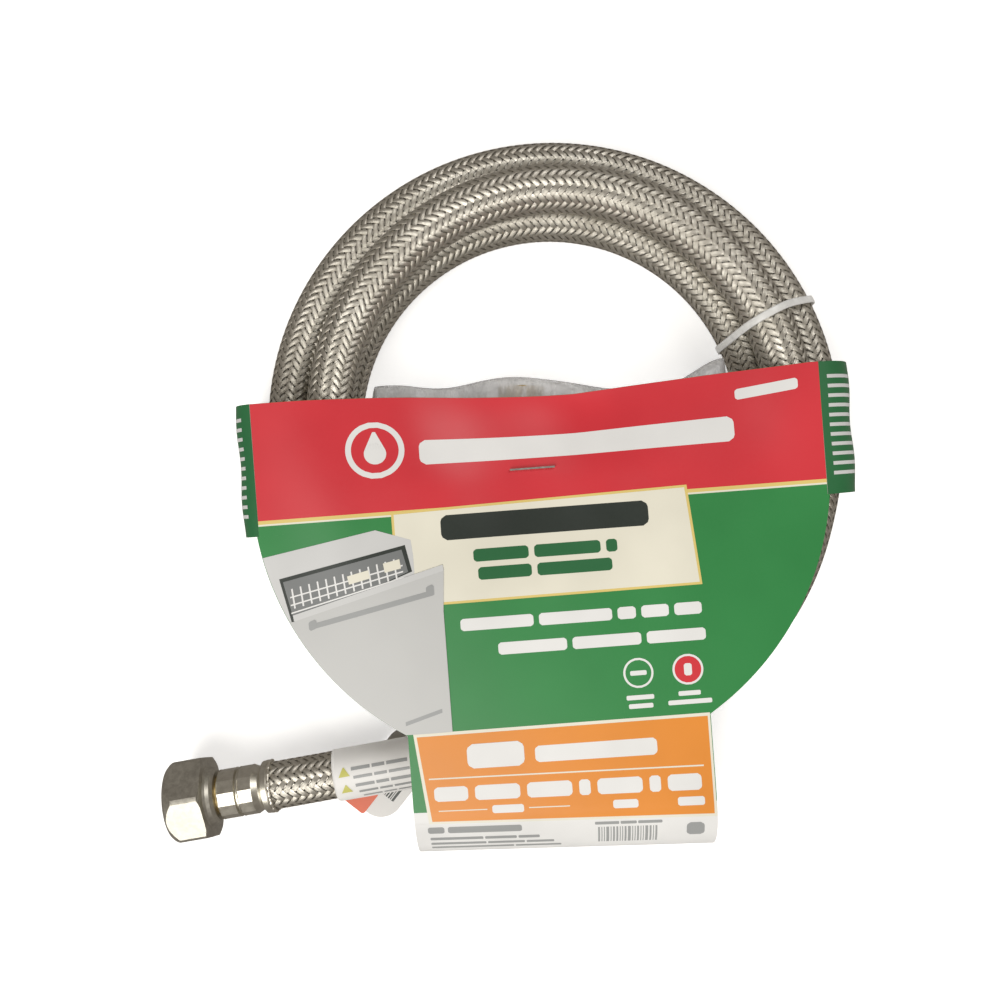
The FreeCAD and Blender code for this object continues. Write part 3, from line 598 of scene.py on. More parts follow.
def ring_tube(rings: np.ndarray, start: int = 0) -> tuple[np.ndarray, np.ndarray]:
    """Skin a row of closed rings, each an even number of points, and close both ends with quads."""
    rows, columns = rings.shape[:2]
    faces = [grid_faces(rows, columns, closed=True)]
    for row, turned in ((0, True), (rows - 1, False)):
        first = row * columns
        half = columns // 2
        strip = [
            (first + i, first + i + 1, first + columns - 2 - i, first + columns - 1 - i)
            for i in range(half - 1)
        ]
        cap = np.array(strip)
        faces.append(cap[:, ::-1] if turned else cap)
    return rings.reshape(-1, 3), np.concatenate(faces) + start


# ---------------------------------------------------------------- hose


@dataclass
class Route:
    """A smooth line read from a spline, with a frame that doesn't twist along it."""

    points: np.ndarray
    step: float = 0.6
    tangent: np.ndarray = field(init=False)
    side: np.ndarray = field(init=False)
    over: np.ndarray = field(init=False)
    length: float = field(init=False)

    def __post_init__(self) -> None:
        """Space the points evenly and carry the frame along."""
        run = np.concatenate([[0.0], np.cumsum(np.linalg.norm(np.diff(self.points, axis=0), axis=1))])
        self.length = float(run[-1])
        count = int(self.length / self.step) + 1
        even = np.linspace(0.0, self.length, count)
        self.points = np.stack([np.interp(even, run, self.points[:, axis]) for axis in range(3)], axis=-1)
        for _ in range(6):
            self.points[1:-1] = (self.points[:-2] + 2 * self.points[1:-1] + self.points[2:]) / 4
        self.tangent = np.gradient(self.points, axis=0)
        self.tangent /= np.linalg.norm(self.tangent, axis=1, keepdims=True)
        side = np.cross(self.tangent[0], (0.0, 0.0, 1.0))
        sides = []
        for direction in self.tangent:
            side = side - direction * float(side @ direction)
            side = side / np.linalg.norm(side)
            sides.append(side)
        self.side = np.array(sides)
        self.over = np.cross(self.side, self.tangent)

    def at(self, distance: np.ndarray) -> tuple[np.ndarray, np.ndarray, np.ndarray]:
        """Point, side and upward direction at distances along the line."""
        place = np.linspace(0.0, self.length, len(self.points))
        found = [
            np.stack([np.interp(distance, place, values[:, axis]) for axis in range(3)], axis=-1)
            for values in (self.points, self.side, self.over)
        ]
        return tuple(found)


class Hand(Enum):
    """Which way a band winds round the hose."""

    RIGHT = 1
    LEFT = -1


@dataclass
class Hose:
    """The braided hose: one smooth line with a dark liner and two sets of woven bands."""

    outer_radius: float = 7.0
    liner_radius: float = 6.15
    inlet_end: tuple[float, float, float] = (-83.409, -106.184, 12.63)
    inlet_along: tuple[float, float, float] = (0.985408, 0.170209, 0.0)
    outlet_end: tuple[float, float, float] = (15.1, -100.6, 18.6)
    outlet_along: tuple[float, float, float] = (0.952469, -0.237477, -0.190809)
    straight_run: float = 15.5
    inlet_route: tuple = (
        (-50, -100.6, 9.8),
        (-28, -96.5, 7.6),
        (-4, -91.9, 7.6),
        (26.1, -86.8, 7.6),
        (46.1, -77, 7.6),
        (62.6, -62.2, 7.6),
        (74.4, -43.4, 7.6),
        (80.5, -22, 7.6),
    )
    outlet_route: tuple = (
        (-62.9, -17, 21.6),
        (-60.1, -35.9, 22.2),
        (-51.6, -57.3, 23),
        (-38, -75.1, 23),
        (-20.1, -88.7, 22.9),
    )
    coil_angles: tuple = (0, 90, 180, 235, 270, 330, 450, 540, 585, 610, 640, 675, 720, 810, 855, 900)
    coil_radii: tuple = (
        81.2, 79.3, 77.3, 76.4, 72.2, 64.3, 63.9, 62.9,
        62.4, 63.3, 65.6, 67.8, 70.0, 68.6, 65.8, 62.9,
    )
    coil_heights: tuple = (
        7.6, 7.6, 7.6, 7.6, 7.6, 7.6, 7.6, 7.6,
        9.6, 14.8, 20.6, 21.2, 20.8, 21.1, 21.4, 21.6,
    )
    points_per_turn: int = 16
    bands: int = 16
    pitch: float = 37.8
    band_width: float = 1.52
    band_thick: float = 0.34
    weave_rise: float = 0.20
    bands_per_piece: int = 4

    def control_points(self) -> np.ndarray:
        """The line's control points: the inlet tail, the coil's turns and the outlet tail."""
        inlet = [
            np.array(self.inlet_end),
            np.array(self.inlet_end) + np.array(self.inlet_along) * self.straight_run,
        ]
        outlet = [
            np.array(self.outlet_end) - np.array(self.outlet_along) * self.straight_run,
            np.array(self.outlet_end),
        ]
        step = 360 / self.points_per_turn
        angles = np.arange(0, self.coil_angles[-1] + step / 2, step)
        outward = 1 / math.cos(math.radians(step / 2))
        turns = []
        for angle in angles:
            radius = float(np.interp(angle, self.coil_angles, self.coil_radii)) * outward
            height = float(np.interp(angle, self.coil_angles, self.coil_heights))
            bearing = math.radians(angle)
            turns.append((radius * math.cos(bearing), radius * math.sin(bearing), height))
        return np.array([*inlet, *self.inlet_route, *turns, *self.outlet_route, *outlet], float)

    def spline(self, name: str, bevel: float) -> bpy.types.Object:
        """A smooth curve through the control polygon, round if it has a bevel."""
        curve = bpy.data.curves.new(name, "CURVE")
        curve.dimensions = "3D"
        spline = curve.splines.new("NURBS")
        control = to_frame(self.control_points())
        spline.points.add(len(control) - 1)
        weighted = np.concatenate([control, np.ones((len(control), 1))], axis=1)
        spline.points.foreach_set("co", weighted.astype(np.float32).ravel())
        spline.order_u = 3
        spline.use_endpoint_u = True
        spline.resolution_u = 10
        curve.bevel_depth = bevel * MM
        curve.bevel_resolution = 5
        curve.use_fill_caps = bevel > 0
        core = bpy.data.objects.new(name, curve)
        bpy.context.scene.collection.objects.link(core)
        return core

    def route(self) -> Route:
        """The line's points, read from the same curve without its bevel."""
        line = self.spline("hose_line", 0.0)
        line.data.splines[0].resolution_u = 40
        bpy.context.view_layer.update()
        mesh = bpy.data.meshes.new_from_object(line)
        flat = np.zeros(len(mesh.vertices) * 3)
        mesh.vertices.foreach_get("co", flat)
        bpy.data.objects.remove(line)
        bpy.data.meshes.remove(mesh)
        return Route(flat.reshape(-1, 3) / MM - SHIFT)

    def band(
        self, route: Route, hand: Hand, index: int, start: int
    ) -> tuple[np.ndarray, np.ndarray, np.ndarray]:
        """One band of wires wound round the hose.

        Its middle is at distance s along the line and at the angle 2 pi s / pitch round it. Its height goes
        up and down as a cosine whose period is four crossings, so it passes over two bands of the other
        hand and under the next two, and bands of one hand rise together in columns along the hose. The
        section is a flat lens of six points.

        Args:
            route: the hose's line.
            hand: which way it winds.
            index: its number round the hose.
            start: number of its first vertex.

        Returns:
            Vertices, quads and the U and V of each vertex.
        """
        step = self.pitch / (4 * self.bands)
        distance = np.arange(0.0, route.length, step)
        turn = hand.value * 2 * math.pi * distance / self.pitch + 2 * math.pi * index / self.bands
        crossing = turn * self.bands / math.pi
        wave = hand.value * np.cos(2 * math.pi * (crossing - 0.5) / 4)
        middle = self.outer_radius - self.weave_rise - self.band_thick / 2
        radius = middle + self.weave_rise * 1.15 * wave / np.sqrt(1 + 0.32 * wave**2)
        centre, side, over = route.at(distance)
        outward = side * np.cos(turn)[:, None] + over * np.sin(turn)[:, None]
        path = centre + outward * radius[:, None]
        heading = np.gradient(path, axis=0)
        across = np.cross(outward, heading)
        across /= np.linalg.norm(across, axis=1, keepdims=True)
        lens = np.array([(-0.5, 0.0), (-0.36, 0.42), (0.0, 0.5), (0.36, 0.42), (0.5, 0.0), (0.0, -0.45)])
        width = lens[:, 0] * self.band_width
        height = lens[:, 1] * self.band_thick
        rings = (
            path[:, None, :]
            + across[:, None, :] * width[None, :, None]
            + outward[:, None, :] * height[None, :, None]
        )
        points, faces = ring_tube(rings, start)
        over_map = np.broadcast_to(lens[:, 0] + 0.5, (len(distance), len(lens)))
        along_map = np.broadcast_to((distance * MM)[:, None], over_map.shape)
        return points, faces[:, ::-1], np.stack([over_map, along_map], axis=-1).reshape(-1, 2)

    def braid(self, route: Route) -> list[bpy.types.Object]:
        """All bands, a few to a piece."""
        pieces = []
        for hand in Hand:
            for group in range(self.bands // self.bands_per_piece):
                points, faces, maps, start = [], [], [], 0
                for index in range(group * self.bands_per_piece, (group + 1) * self.bands_per_piece):
                    band_points, band_faces, band_map = self.band(route, hand, index, start)
                    points.append(band_points)
                    faces.append(band_faces)
                    maps.append(band_map)
                    start += len(band_points)
                name = "braid_" + hand.name.lower() + "_" + str(group + 1)
                pieces.append(mesh_piece(name, np.concatenate(points), np.concatenate(faces), [Finish.BRAID],
                                         band_map=np.concatenate(maps)))
        return pieces

    def build(self) -> Route:
        """Make the liner as a bevelled curve along the line and the braid round it."""
        core = self.spline("hose_liner", self.liner_radius)
        core.data.materials.append(Finish.LINER.dress())
        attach(core, PACK)
        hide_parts("hose_coil", "inlet_tail_braid", "inlet_tail_liner",
                    "outlet_tail_braid", "outlet_tail_liner")
        route = self.route()
        pieces = self.braid(route)
        log.info("hose %.0f mm long with %d pieces of braid", route.length, len(pieces))
        return route


# ---------------------------------------------------------------- studio


@dataclass
class Studio:
    """Floor, lights and the camera that looks straight down."""

    camera_place: tuple[float, float, float] = (-14.5, -21.15, 309.4)
    focal_length: float = 36.0

    def camera(self) -> None:
        """Camera over the pack."""
        data = bpy.data.cameras.new("camera")
        data.sensor_width = 36.0
        data.lens = self.focal_length
        data.clip_start = 0.01
        camera = bpy.data.objects.new("camera", data)
        camera.location = Vector(to_frame(np.array(self.camera_place)))
        bpy.context.scene.collection.objects.link(camera)
        bpy.context.scene.camera = camera

    def area(self, name: str, place: Sequence[float], size: float, power: float, colour: Colour) -> None:
        """A square lamp aimed at the pack.

        Args:
            name: its name.
            place: where it is, in metres.
            size: side of the square, in metres.
            power: watts.
            colour: tint.
        """
        data = bpy.data.lights.new(name, "AREA")
        data.size = size
        data.energy = power
        data.color = colour
        lamp = bpy.data.objects.new(name, data)
        lamp.location = place
        lamp.rotation_euler = Vector(place).to_track_quat("Z", "Y").to_euler()
        bpy.context.scene.collection.objects.link(lamp)

    def build(self) -> None:
        """Make everything of the studio."""
        scene = bpy.context.scene
        scene.view_settings.view_transform = "Standard"
        self.camera()
        self.area("key_lamp", (-0.30, -0.45, 0.75), 0.7, 6.6, (1.0, 0.985, 0.95))
        self.area("side_lamp", (0.45, 0.55, 0.75), 0.5, 3.4, (1.0, 0.99, 0.97))
        world = bpy.data.worlds.new("studio_world")
        scene.world = world
        world.use_nodes = True
        world.node_tree.nodes["Background"].inputs[0].default_value = (0.30, 0.275, 0.25, 1.0)
        world.node_tree.nodes["Background"].inputs[1].default_value = 0.8
        mesh = bpy.data.meshes.new("floor")
        reach = 1.5
        corners = [(-reach, -reach, 0), (reach, -reach, 0), (reach, reach, 0), (-reach, reach, 0)]
        mesh.from_pydata([(x, y, -0.0002) for x, y, _ in corners], [], [(0, 1, 2, 3)])
        mesh.materials.append(StudioFloor().material())
        floor = bpy.data.objects.new("floor", mesh)
        floor.visible_glossy = False
        scene.collection.objects.link(floor)
        log.info("studio ready")


# ---------------------------------------------------------------- end fittings


@dataclass
class EndFitting:
    """Finishes of one end's pieces, with the braid's folded rim at the ferrule's mouth and a screw thread."""

    end: str
    mouth: tuple[float, float, float]
    along: tuple[float, float, float]
    bell_end: float
    thread_radius: float
    thread_length: float
    thread_pitch: float
    rim_radius: float = 7.25
    rim_bead: float = 0.5

    def directions(self) -> tuple[np.ndarray, np.ndarray, np.ndarray]:
        """Axis toward the hose, and two directions square to it."""
        along = np.array(self.along)
        across = np.cross((0.0, 0.0, 1.0), along)
        across /= np.linalg.norm(across)
        return along, across, np.cross(along, across)

    def rim(self) -> None:
        """Folded wire ends of the braid: a ring whose bead swells and thins sixteen times round."""
        along, across, up = self.directions()
        around = np.linspace(0, 2 * math.pi, 192, endpoint=False)
        about = np.linspace(0, 2 * math.pi, 10, endpoint=False)
        bead = self.rim_bead * (1 + 0.28 * np.sin(16 * around) + 0.14 * np.sin(37 * around + 1))
        outward = across * np.cos(around)[:, None] + up * np.sin(around)[:, None]
        radius = self.rim_radius + bead[:, None] * np.cos(about)[None, :] * 0.8
        forward = self.bell_end + 0.35 + bead[:, None] * np.sin(about)[None, :]
        points = np.array(self.mouth) + outward[:, None, :] * radius[..., None] + along * forward[..., None]
        faces = grid_faces(193, 10, closed=True) % (192 * 10)
        mesh_piece(self.end + "_braid_rim", points, faces, [Finish.BRAID],
                   band_map=np.zeros((192 * 10, 2)) + 0.1)

    def thread(self) -> None:
        """Screw thread inside the mouth: a three-sided ridge on a helix that thins out at both ends."""
        along, across, up = self.directions()
        start = 1.0
        turns = (self.thread_length - 0.4) / self.thread_pitch
        sweep = np.linspace(0, 1, int(turns * 48) + 1)
        angle = sweep * turns * 2 * math.pi
        fade = smooth_step(np.minimum(sweep, 1 - sweep) * 8) * 0.98 + 0.02
        outward = across * np.cos(angle)[:, None] + up * np.sin(angle)[:, None]
        depth = 0.09
        half = self.thread_pitch * 0.36
        corners = [(depth * 0.1, -half), (-depth * 5, 0.0), (depth * 0.1, half), (depth * 0.4, 0.0)]
        rings = []
        for reach, shift in corners:
            radius = self.thread_radius - 0.02 + reach * fade
            forward = start + sweep * turns * self.thread_pitch + shift * fade
            rings.append(np.array(self.mouth) + outward * radius[:, None] + along * forward[:, None])
        points, faces = ring_tube(np.stack(rings, axis=1))
        name = self.end + "_screw_thread"
        piece = mesh_piece(name, points, faces, [Finish.NUT], smooth=False)
        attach(piece, self.end + "_nut")

    def build(self) -> None:
        """Dress the end's CAD pieces and add the rim and thread."""
        for piece, finish in (("nut", Finish.NUT), ("ferrule", Finish.FERRULE), ("nipple", Finish.INSERT),
                              ("washer", Finish.WASHER)):
            dress_node(self.end + "_" + piece, finish)
        self.rim()
        self.thread()
        log.info("%s fitting dressed", self.end)


def dress_node(node: str, finish: Finish) -> None:
    """Give a CAD piece its finish."""
    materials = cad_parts[node].data.materials
    if len(materials) == 0:
        materials.append(finish.dress())
    for index in range(len(materials)):
        materials[index] = finish.dress()


# ---------------------------------------------------------------- card sleeve


@dataclass
class Card:
    """The folded card sleeve with its printing, worked out in the card's own turned frame (u, v)."""

    turn: float = math.radians(4.3)
    centre: float = -4.3
    half_width: float = 79.3
    top_edge: float = 11.8
    band_low: float = -25.2
    lobe_radius: float = 80.5
    lobe_centre: float = -15.0
    neck_half: float = 42.2
    fold_edge: float = 122.2
    top_height: float = 31.45
    thick: float = 0.5
    sag: float = 5.0
    left_profile: tuple = (
        (0, 31.45), (2.6, 30.7), (4.6, 28.4), (5.6, 24.5), (6.0, 18),
        (6.2, 10), (6.2, 3.5), (5.2, 0.9), (-10, 0.6), (-20, 0.6),
    )
    right_profile: tuple = (
        (0, 31.45), (4.5, 30.6), (8.4, 28.0), (10.9, 23.5), (12.3, 17.5),
        (13.6, 10), (13.8, 4), (12.6, 0.9), (-4, 0.6), (-14, 0.6),
    )
    back_top: float = -34.0
    crease: float = 7.5

    @property
    def bend(self) -> float:
        """Outer radius of the half turn at the bottom."""
        return 31.5 / 2

    def half_at(self, v: np.ndarray) -> np.ndarray:
        """Half the sheet's width at v: the band, then the round lobe, then the neck."""
        reach = np.sqrt(np.clip(self.lobe_radius**2 - (v - self.lobe_centre) ** 2, 0, None))
        return np.where(v >= self.band_low, self.half_width, np.maximum(reach, self.neck_half))

    def relief(self, u: np.ndarray, v: np.ndarray) -> tuple[np.ndarray, np.ndarray]:
        """How far the card sinks, and how far its upper edge is drawn down the sheet.

        The middle sags as the square of a parabola across, and the upper edge dips toward a crease right of
        the middle, in straight lines from both ends, fading out down the band.
        """
        across = np.clip(1 - ((u - self.centre) / 48) ** 2, 0, None)
        sag = self.sag * across**2 * smooth_step((v + 48) / 44)
        left = smooth_step((u + 82) / (82 + self.crease)) ** 1.2
        right = np.clip((72 - u) / (72 - self.crease), 0, 1)
        dip = np.where(u < self.crease, left, right) * smooth_step((v + 16) / 28)
        ripple = 0.25 * np.sin(u * 0.21 + v * 0.05) * smooth_step((v + 70) / 60)
        return sag + dip * 4.5 + ripple, dip * 3.0

    def place(self, u: np.ndarray, v: np.ndarray, lift: float = 0.0) -> np.ndarray:
        """Put sheet points into the layout, past the bend too.

        Args:
            u: across the card.
            v: up the card, negative toward the fold, measured along the sheet.
            lift: how far above the printed side.

        Returns:
            Layout points in millimetres.
        """
        u, v = np.broadcast_arrays(np.asarray(u, float), np.asarray(v, float))
        sink, drawn = self.relief(u, v)
        bend_start = -self.fold_edge + self.bend
        over = np.clip(bend_start - v, 0, None)
        angle = np.clip(over / self.bend, 0, math.pi)
        rest = np.clip(over - math.pi * self.bend, 0, None)
        radius = self.bend + lift
        y = np.where(over > 0, bend_start - radius * np.sin(angle) + rest, v - drawn)
        z = np.where(over > 0, self.bend + radius * np.cos(angle) - 0.05, self.top_height + lift - sink)
        tilt = smooth_step((-83 - v) / 35) * smooth_step((-self.fold_edge - 24 - v) / -20)
        y = y - tilt * 0.045 * (u - self.centre)
        x = u * math.cos(self.turn) - y * math.sin(self.turn)
        return np.stack([x, u * math.sin(self.turn) + y * math.cos(self.turn), z], axis=-1)

    def rows(self, low: float, high: float, count: int) -> np.ndarray:
        """Heights from high down to low."""
        return np.linspace(high, low, count)

    def sheet(self, name: str, low: float, high: float, shape: tuple[int, int], finish: Finish,
              nodes: Sequence[str]) -> None:
        """A stretch of the sheet with its full width.

        Args:
            name: the piece's name.
            low: its lower end along the sheet.
            high: its upper end.
            shape: rows and columns of its grid.
            finish: printed side.
            nodes: CAD pieces it stands for.
        """
        v = self.rows(low, high, shape[0])
        share = np.linspace(-1, 1, shape[1])
        u = self.centre + share[None, :] * self.half_at(v)[:, None]
        points, faces, side = shell(self.place(u, v[:, None]), self.thick)
        inks = [finish, Finish.BOARD]
        piece = mesh_piece(name, points, faces, inks, np.minimum(side, 1), smooth=side < 2)
        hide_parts(*nodes)

    def flap_surface(
        self, hand: int, profile: np.ndarray, v: np.ndarray, share: np.ndarray, lift: float
    ) -> np.ndarray:
        """Points of a side flap: its profile, rounded, carried along the card's side with a slight wave.

        Args:
            hand: 1 on the right, -1 on the left.
            profile: distance out and height at even steps from the card's edge to the tuck's end.
            v: places along the card's side.
            share: places along the profile, 0 to 1.
            lift: how far outside the surface, in millimetres.

        Returns:
            Grid of layout points, seen from outside.
        """
        even = np.linspace(0, 1, len(profile))
        out, height = (np.interp(share, even, profile[:, axis]) for axis in range(2))
        way = np.gradient(np.stack([out, height]), axis=1)
        way /= np.linalg.norm(way, axis=0)
        out = out - way[1] * lift
        height = height + way[0] * lift
        wave = 0.3 * np.sin(v * 0.3)[:, None] * np.clip(out / 6, 0, 1)[None, :]
        u = self.centre + hand * (self.half_width + out[None, :] + wave)
        y = np.broadcast_to(v[:, None], u.shape)
        z = np.broadcast_to(height[None, :], u.shape)
        x = u * math.cos(self.turn) - y * math.sin(self.turn)
        grid = np.stack([x, u * math.sin(self.turn) + y * math.cos(self.turn), z], axis=-1)
        return grid if hand > 0 else grid[:, ::-1]

    @staticmethod
    def rounded(profile: Sequence[tuple[float, float]]) -> np.ndarray:
        """A profile with its corners cut off three times."""
        points = np.array(profile, float)
        for _ in range(3):
            near = points[:-1] * 0.75 + points[1:] * 0.25
            far = points[:-1] * 0.25 + points[1:] * 0.75
            points = np.concatenate([points[:1], np.stack([near, far], axis=1).reshape(-1, 2), points[-1:]])
        run = np.concatenate([[0.0], np.cumsum(np.linalg.norm(np.diff(points, axis=0), axis=1))])
        even = np.linspace(0, run[-1], 60)
        return np.stack([np.interp(even, run, points[:, axis]) for axis in range(2)], axis=-1)

    def flap(self, name: str, hand: int, profile: Sequence[tuple[float, float]], node: str) -> None:
        """A side flap with rows of plain bars on it, shorter and longer in turn.

        Args:
            name: the piece's name.
            hand: 1 on the right, -1 on the left.
            profile: corners of its section.
            node: the CAD piece it stands for.
        """
        section = self.rounded(profile)
        v = self.rows(self.band_low, self.top_edge, 16)
        grid = self.flap_surface(hand, section, v, np.linspace(0, 1, 60), 0.0)
        points, faces, side = shell(grid, self.thick)
        piece = mesh_piece(name, points, faces, [Finish.DEEP_GREEN, Finish.BOARD],
                           np.minimum(side, 1), smooth=side < 2)
        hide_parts(node)
        lines = []
        for row in range(11):
            middle = self.top_edge - 4.2 - row * 2.7
            stop = 0.19 + 0.012 * (row * 5 % 4)
            start = 0.035 if hand > 0 else 0.05
            across = np.linspace(start, stop, 10)
            rows = np.array([middle + 0.5, middle, middle - 0.5])
            lines.append(self.flap_surface(hand, section, rows, across, 0.06))
        self.printed(name + "_words", lines, Finish.PALE_GREY)

    def printed(self, name: str, grids: Sequence[np.ndarray], ink: Finish) -> None:
        """Several printed shapes of one ink as one piece."""
        points, faces, sides, start = [], [], [], 0
        for grid in grids:
            shape_points, shape_faces, side = shell(grid, 0.02, start)
            points.append(shape_points)
            faces.append(shape_faces)
            sides.append(side)
            start += len(shape_points)
        smooth = np.concatenate(sides) < 2
        mesh_piece(name, np.concatenate(points), np.concatenate(faces), [ink], smooth=smooth)

    def quad(
        self, corners: Sequence[tuple[float, float]], level: int = 1, shape: tuple[int, int] = (10, 24)
    ) -> np.ndarray:
        """A four-cornered patch, straight lines between its corners.

        Args:
            corners: upper left, upper right, lower right and lower left, as (u, v).
            level: which layer of ink it is.
            shape: rows and columns.

        Returns:
            Grid of layout points.
        """
        down, right = np.meshgrid(np.linspace(0, 1, shape[0]), np.linspace(0, 1, shape[1]), indexing="ij")
        a, b, c, d = (np.array(corner, float) for corner in corners)
        flat = (
            a * ((1 - down) * (1 - right))[..., None]
            + b * ((1 - down) * right)[..., None]
            + c * (down * right)[..., None]
            + d * (down * (1 - right))[..., None]
        )
        edge = self.centre - self.half_at(flat[..., 1]) + 0.1
        return self.place(np.maximum(flat[..., 0], edge), flat[..., 1], 0.03 * level)

    def bar(
        self, left: float, right: float, middle: float, height: float, level: int = 2, rise: float = 0.0
    ) -> np.ndarray:
        """A bar with round ends, standing for a word.

        Args:
            left: its left end.
            right: its right end.
            middle: its height on the card.
            height: how tall it is.
            level: which layer of ink it is.
            rise: how much higher its right end is.

        Returns:
            Grid of layout points.
        """
        radius = min(height, right - left) * 0.28
        rows = np.linspace(1, -1, 9) * height / 2
        inset = np.clip(np.abs(rows) - (height / 2 - radius), 0, radius * 0.985)
        shrink = radius - np.sqrt(radius**2 - inset**2)
        share = np.linspace(0, 1, max(4, int((right - left) / 3)))
        u = (left + shrink)[:, None] + share[None, :] * (right - left - 2 * shrink)[:, None]
        return self.place(u, middle + rows[:, None] + rise * share[None, :], 0.03 * level)

    def words(self, left: float, right: float, middle: float, height: float, shares: Sequence[int],
              rise: float = 0.0) -> list[np.ndarray]:
        """A line of bars whose widths follow the shares, with even gaps."""
        gap = height * 0.45
        unit = (right - left - gap * (len(shares) - 1)) / sum(shares)
        grids = []
        at = left
        for share in shares:
            share_rise = rise * (at - left) / (right - left)
            own_rise = rise * unit * share / (right - left)
            grids.append(self.bar(at, at + unit * share, middle + share_rise, height, rise=own_rise))
            at += unit * share + gap
        return grids

    def disc(self, u: float, v: float, radius: float, level: int) -> np.ndarray:
        """A round patch as rows of chords."""
        rows = np.linspace(0.985, -0.985, 21) * radius
        half = np.sqrt(radius**2 - rows**2)
        share = np.linspace(-1, 1, 17)
        return self.place(u + half[:, None] * share[None, :], v + rows[:, None], 0.03 * level)

    def lobe_patch(self, low: float, high: float, right: float, level: int = 1) -> np.ndarray:
        """A patch bounded on its left by the card's own edge."""
        v = self.rows(low, high, 26)
        left = self.centre - self.half_at(v) + 0.15
        share = np.linspace(0, 1, 24)
        return self.place(left[:, None] + share[None, :] * (right - left)[:, None], v[:, None], 0.03 * level)

    def band_patch(self, low: float, high: float, level: int = 1) -> np.ndarray:
        """A stripe over the band's full width."""
        share = np.linspace(-1, 1, 110)
        v = self.rows(low, high, max(4, int((high - low) / 1.2)))
        u = self.centre + share[None, :] * (self.half_width - 0.05) + 0 * v[:, None]
        return self.place(u, v[:, None], 0.03 * level)

    def artwork(self) -> None:
        """Everything printed on the front, with plain bars for all words and marks."""
        self.printed("red_band", [self.band_patch(-20.9, self.top_edge - 0.05)], Finish.RED)
        self.printed("gold_line", [self.band_patch(-21.9, -20.9)], Finish.GOLD)
        self.printed("pale_line", [self.band_patch(-22.4, -21.9)], Finish.CREAM)
        cream = [(-46.6, -21.2), (36.0, -19.6), (38.3, -47.5), (-46.6, -47.9)]
        self.printed("title_border", [self.quad(cream, 2, (16, 40))], Finish.GOLD)
        inner = [(-45.9, -21.9), (35.3, -20.3), (37.6, -46.8), (-45.9, -47.2)]
        self.printed("title_panel", [self.quad(inner, 3, (16, 40))], Finish.CREAM)
        title = [self.bar(-33.1, 24.9, -26.6, 7.0, 4)]
        self.printed("title_bar", title, Finish.DARK_GREY)
        lines = self.words(-24.6, 15.6, -34.9, 3.5, (5, 6, 1)) + self.words(-23.6, 13.8, -40.0, 3.5, (5, 7))
        for grid in lines:
            grid[..., 2] += 0.06
        self.printed("title_words", lines, Finish.DEEP_GREEN)
        white = self.words(-37.6, 50.4, -4.6, 7.4, (1,))
        white += self.words(-29.6, 37.6, -53.9, 3.4, (8, 8, 2, 3, 3))
        white += self.words(-19.6, 38.2, -61.2, 3.4, (7, 7, 6))
        white += self.words(14.9, 22.6, -77.6, 1.3, (4,)) + self.words(15.4, 22.2, -80.0, 1.3, (4,))
        white += self.words(29.4, 35.6, -77.4, 1.3, (4,)) + self.words(26.4, 38.6, -79.8, 1.3, (4,))
        white += self.words(51.4, 69.0, 5.2, 3.1, (1,), 1.2)
        for across, along, radius in ((-49.8, -3.3, 8.2), (18.7, -70.8, 4.2), (32.5, -70.8, 4.3)):
            white.append(self.disc(across, along, radius, 2))
        self.printed("white_marks", white, Finish.WHITE)
        hollows = [self.disc(-49.8, -3.3, 6.6, 3), self.disc(32.5, -70.8, 3.7, 3)]
        self.printed("mark_hollow", hollows, Finish.RED)
        self.printed("mark_green", [self.disc(18.7, -70.8, 3.6, 3)], Finish.GREEN)
        drop = [self.disc(-49.8, -4.3, 3.1, 4)]
        drop += [self.bar(31.4, 33.6, -70.8, 3.4, 4), self.bar(16.4, 21.0, -70.8, 1.3, 4)]
        tip = self.quad([(-50.2, 2.0), (-49.4, 2.0), (-46.9, -3.2), (-52.7, -3.2)], 4, (8, 8))
        self.printed("mark_middle", drop + [tip], Finish.WHITE)
        self.appliance()
        self.connector_panel()

    def appliance(self) -> None:
        """Picture of a plain front-opening appliance: casing, dark inside with racks, and a tipped door."""
        casing = [self.quad([(-83.0, -31.2), (-51.3, -25.8), (-51.3, -33.6), (-82.5, -33.6)], 4, (12, 26)),
                  self.quad([(-51.3, -25.8), (-41.7, -29.2), (-41.3, -33.6), (-51.3, -33.6)], 4, (12, 10)),
                  self.lobe_patch(-56.0, -33.6, -41.3, 4)]
        self.printed("appliance_casing", casing, Finish.PALE_GREY)
        opening = [self.quad([(-78.9, -37.4), (-43.4, -30.5), (-41.9, -38.0), (-76.2, -50.0)], 5, (12, 26))]
        self.printed("appliance_opening", opening, Finish.DARK_GREY)
        inside = [self.quad([(-77.9, -38.3), (-44.4, -31.7), (-43.0, -38.0), (-75.4, -50.0)], 6, (12, 26))]
        self.printed("appliance_inside", inside, Finish.COOL_GREY)
        racks = []
        for step in range(13):
            at = -75.8 + step * 2.4
            high = -40.6 + (at + 77) * 0.21
            wire = [(at, high), (at + 0.45, high + 0.1), (at + 0.95, high - 5.4), (at + 0.5, high - 5.5)]
            racks.append(self.quad(wire, 7, (4, 3)))
        for step in range(3):
            left, right = -42.5 - step * 2.2, -35.9 - step * 1.7
            wire = [(-76.2, left), (-44.4, right), (-44.4, right - 0.4), (-76.2, left - 0.4)]
            racks.append(self.quad(wire, 7, (3, 16)))
        self.printed("appliance_racks", racks, Finish.WHITE)
        items = [self.quad([(-60.0, -38.0), (-54.0, -36.7), (-53.6, -39.0), (-59.6, -40.3)], 8, (4, 6)),
                 self.quad([(-49.8, -35.2), (-45.2, -34.3), (-44.9, -36.9), (-49.5, -37.8)], 8, (4, 6))]
        self.printed("appliance_load", items, Finish.CREAM)
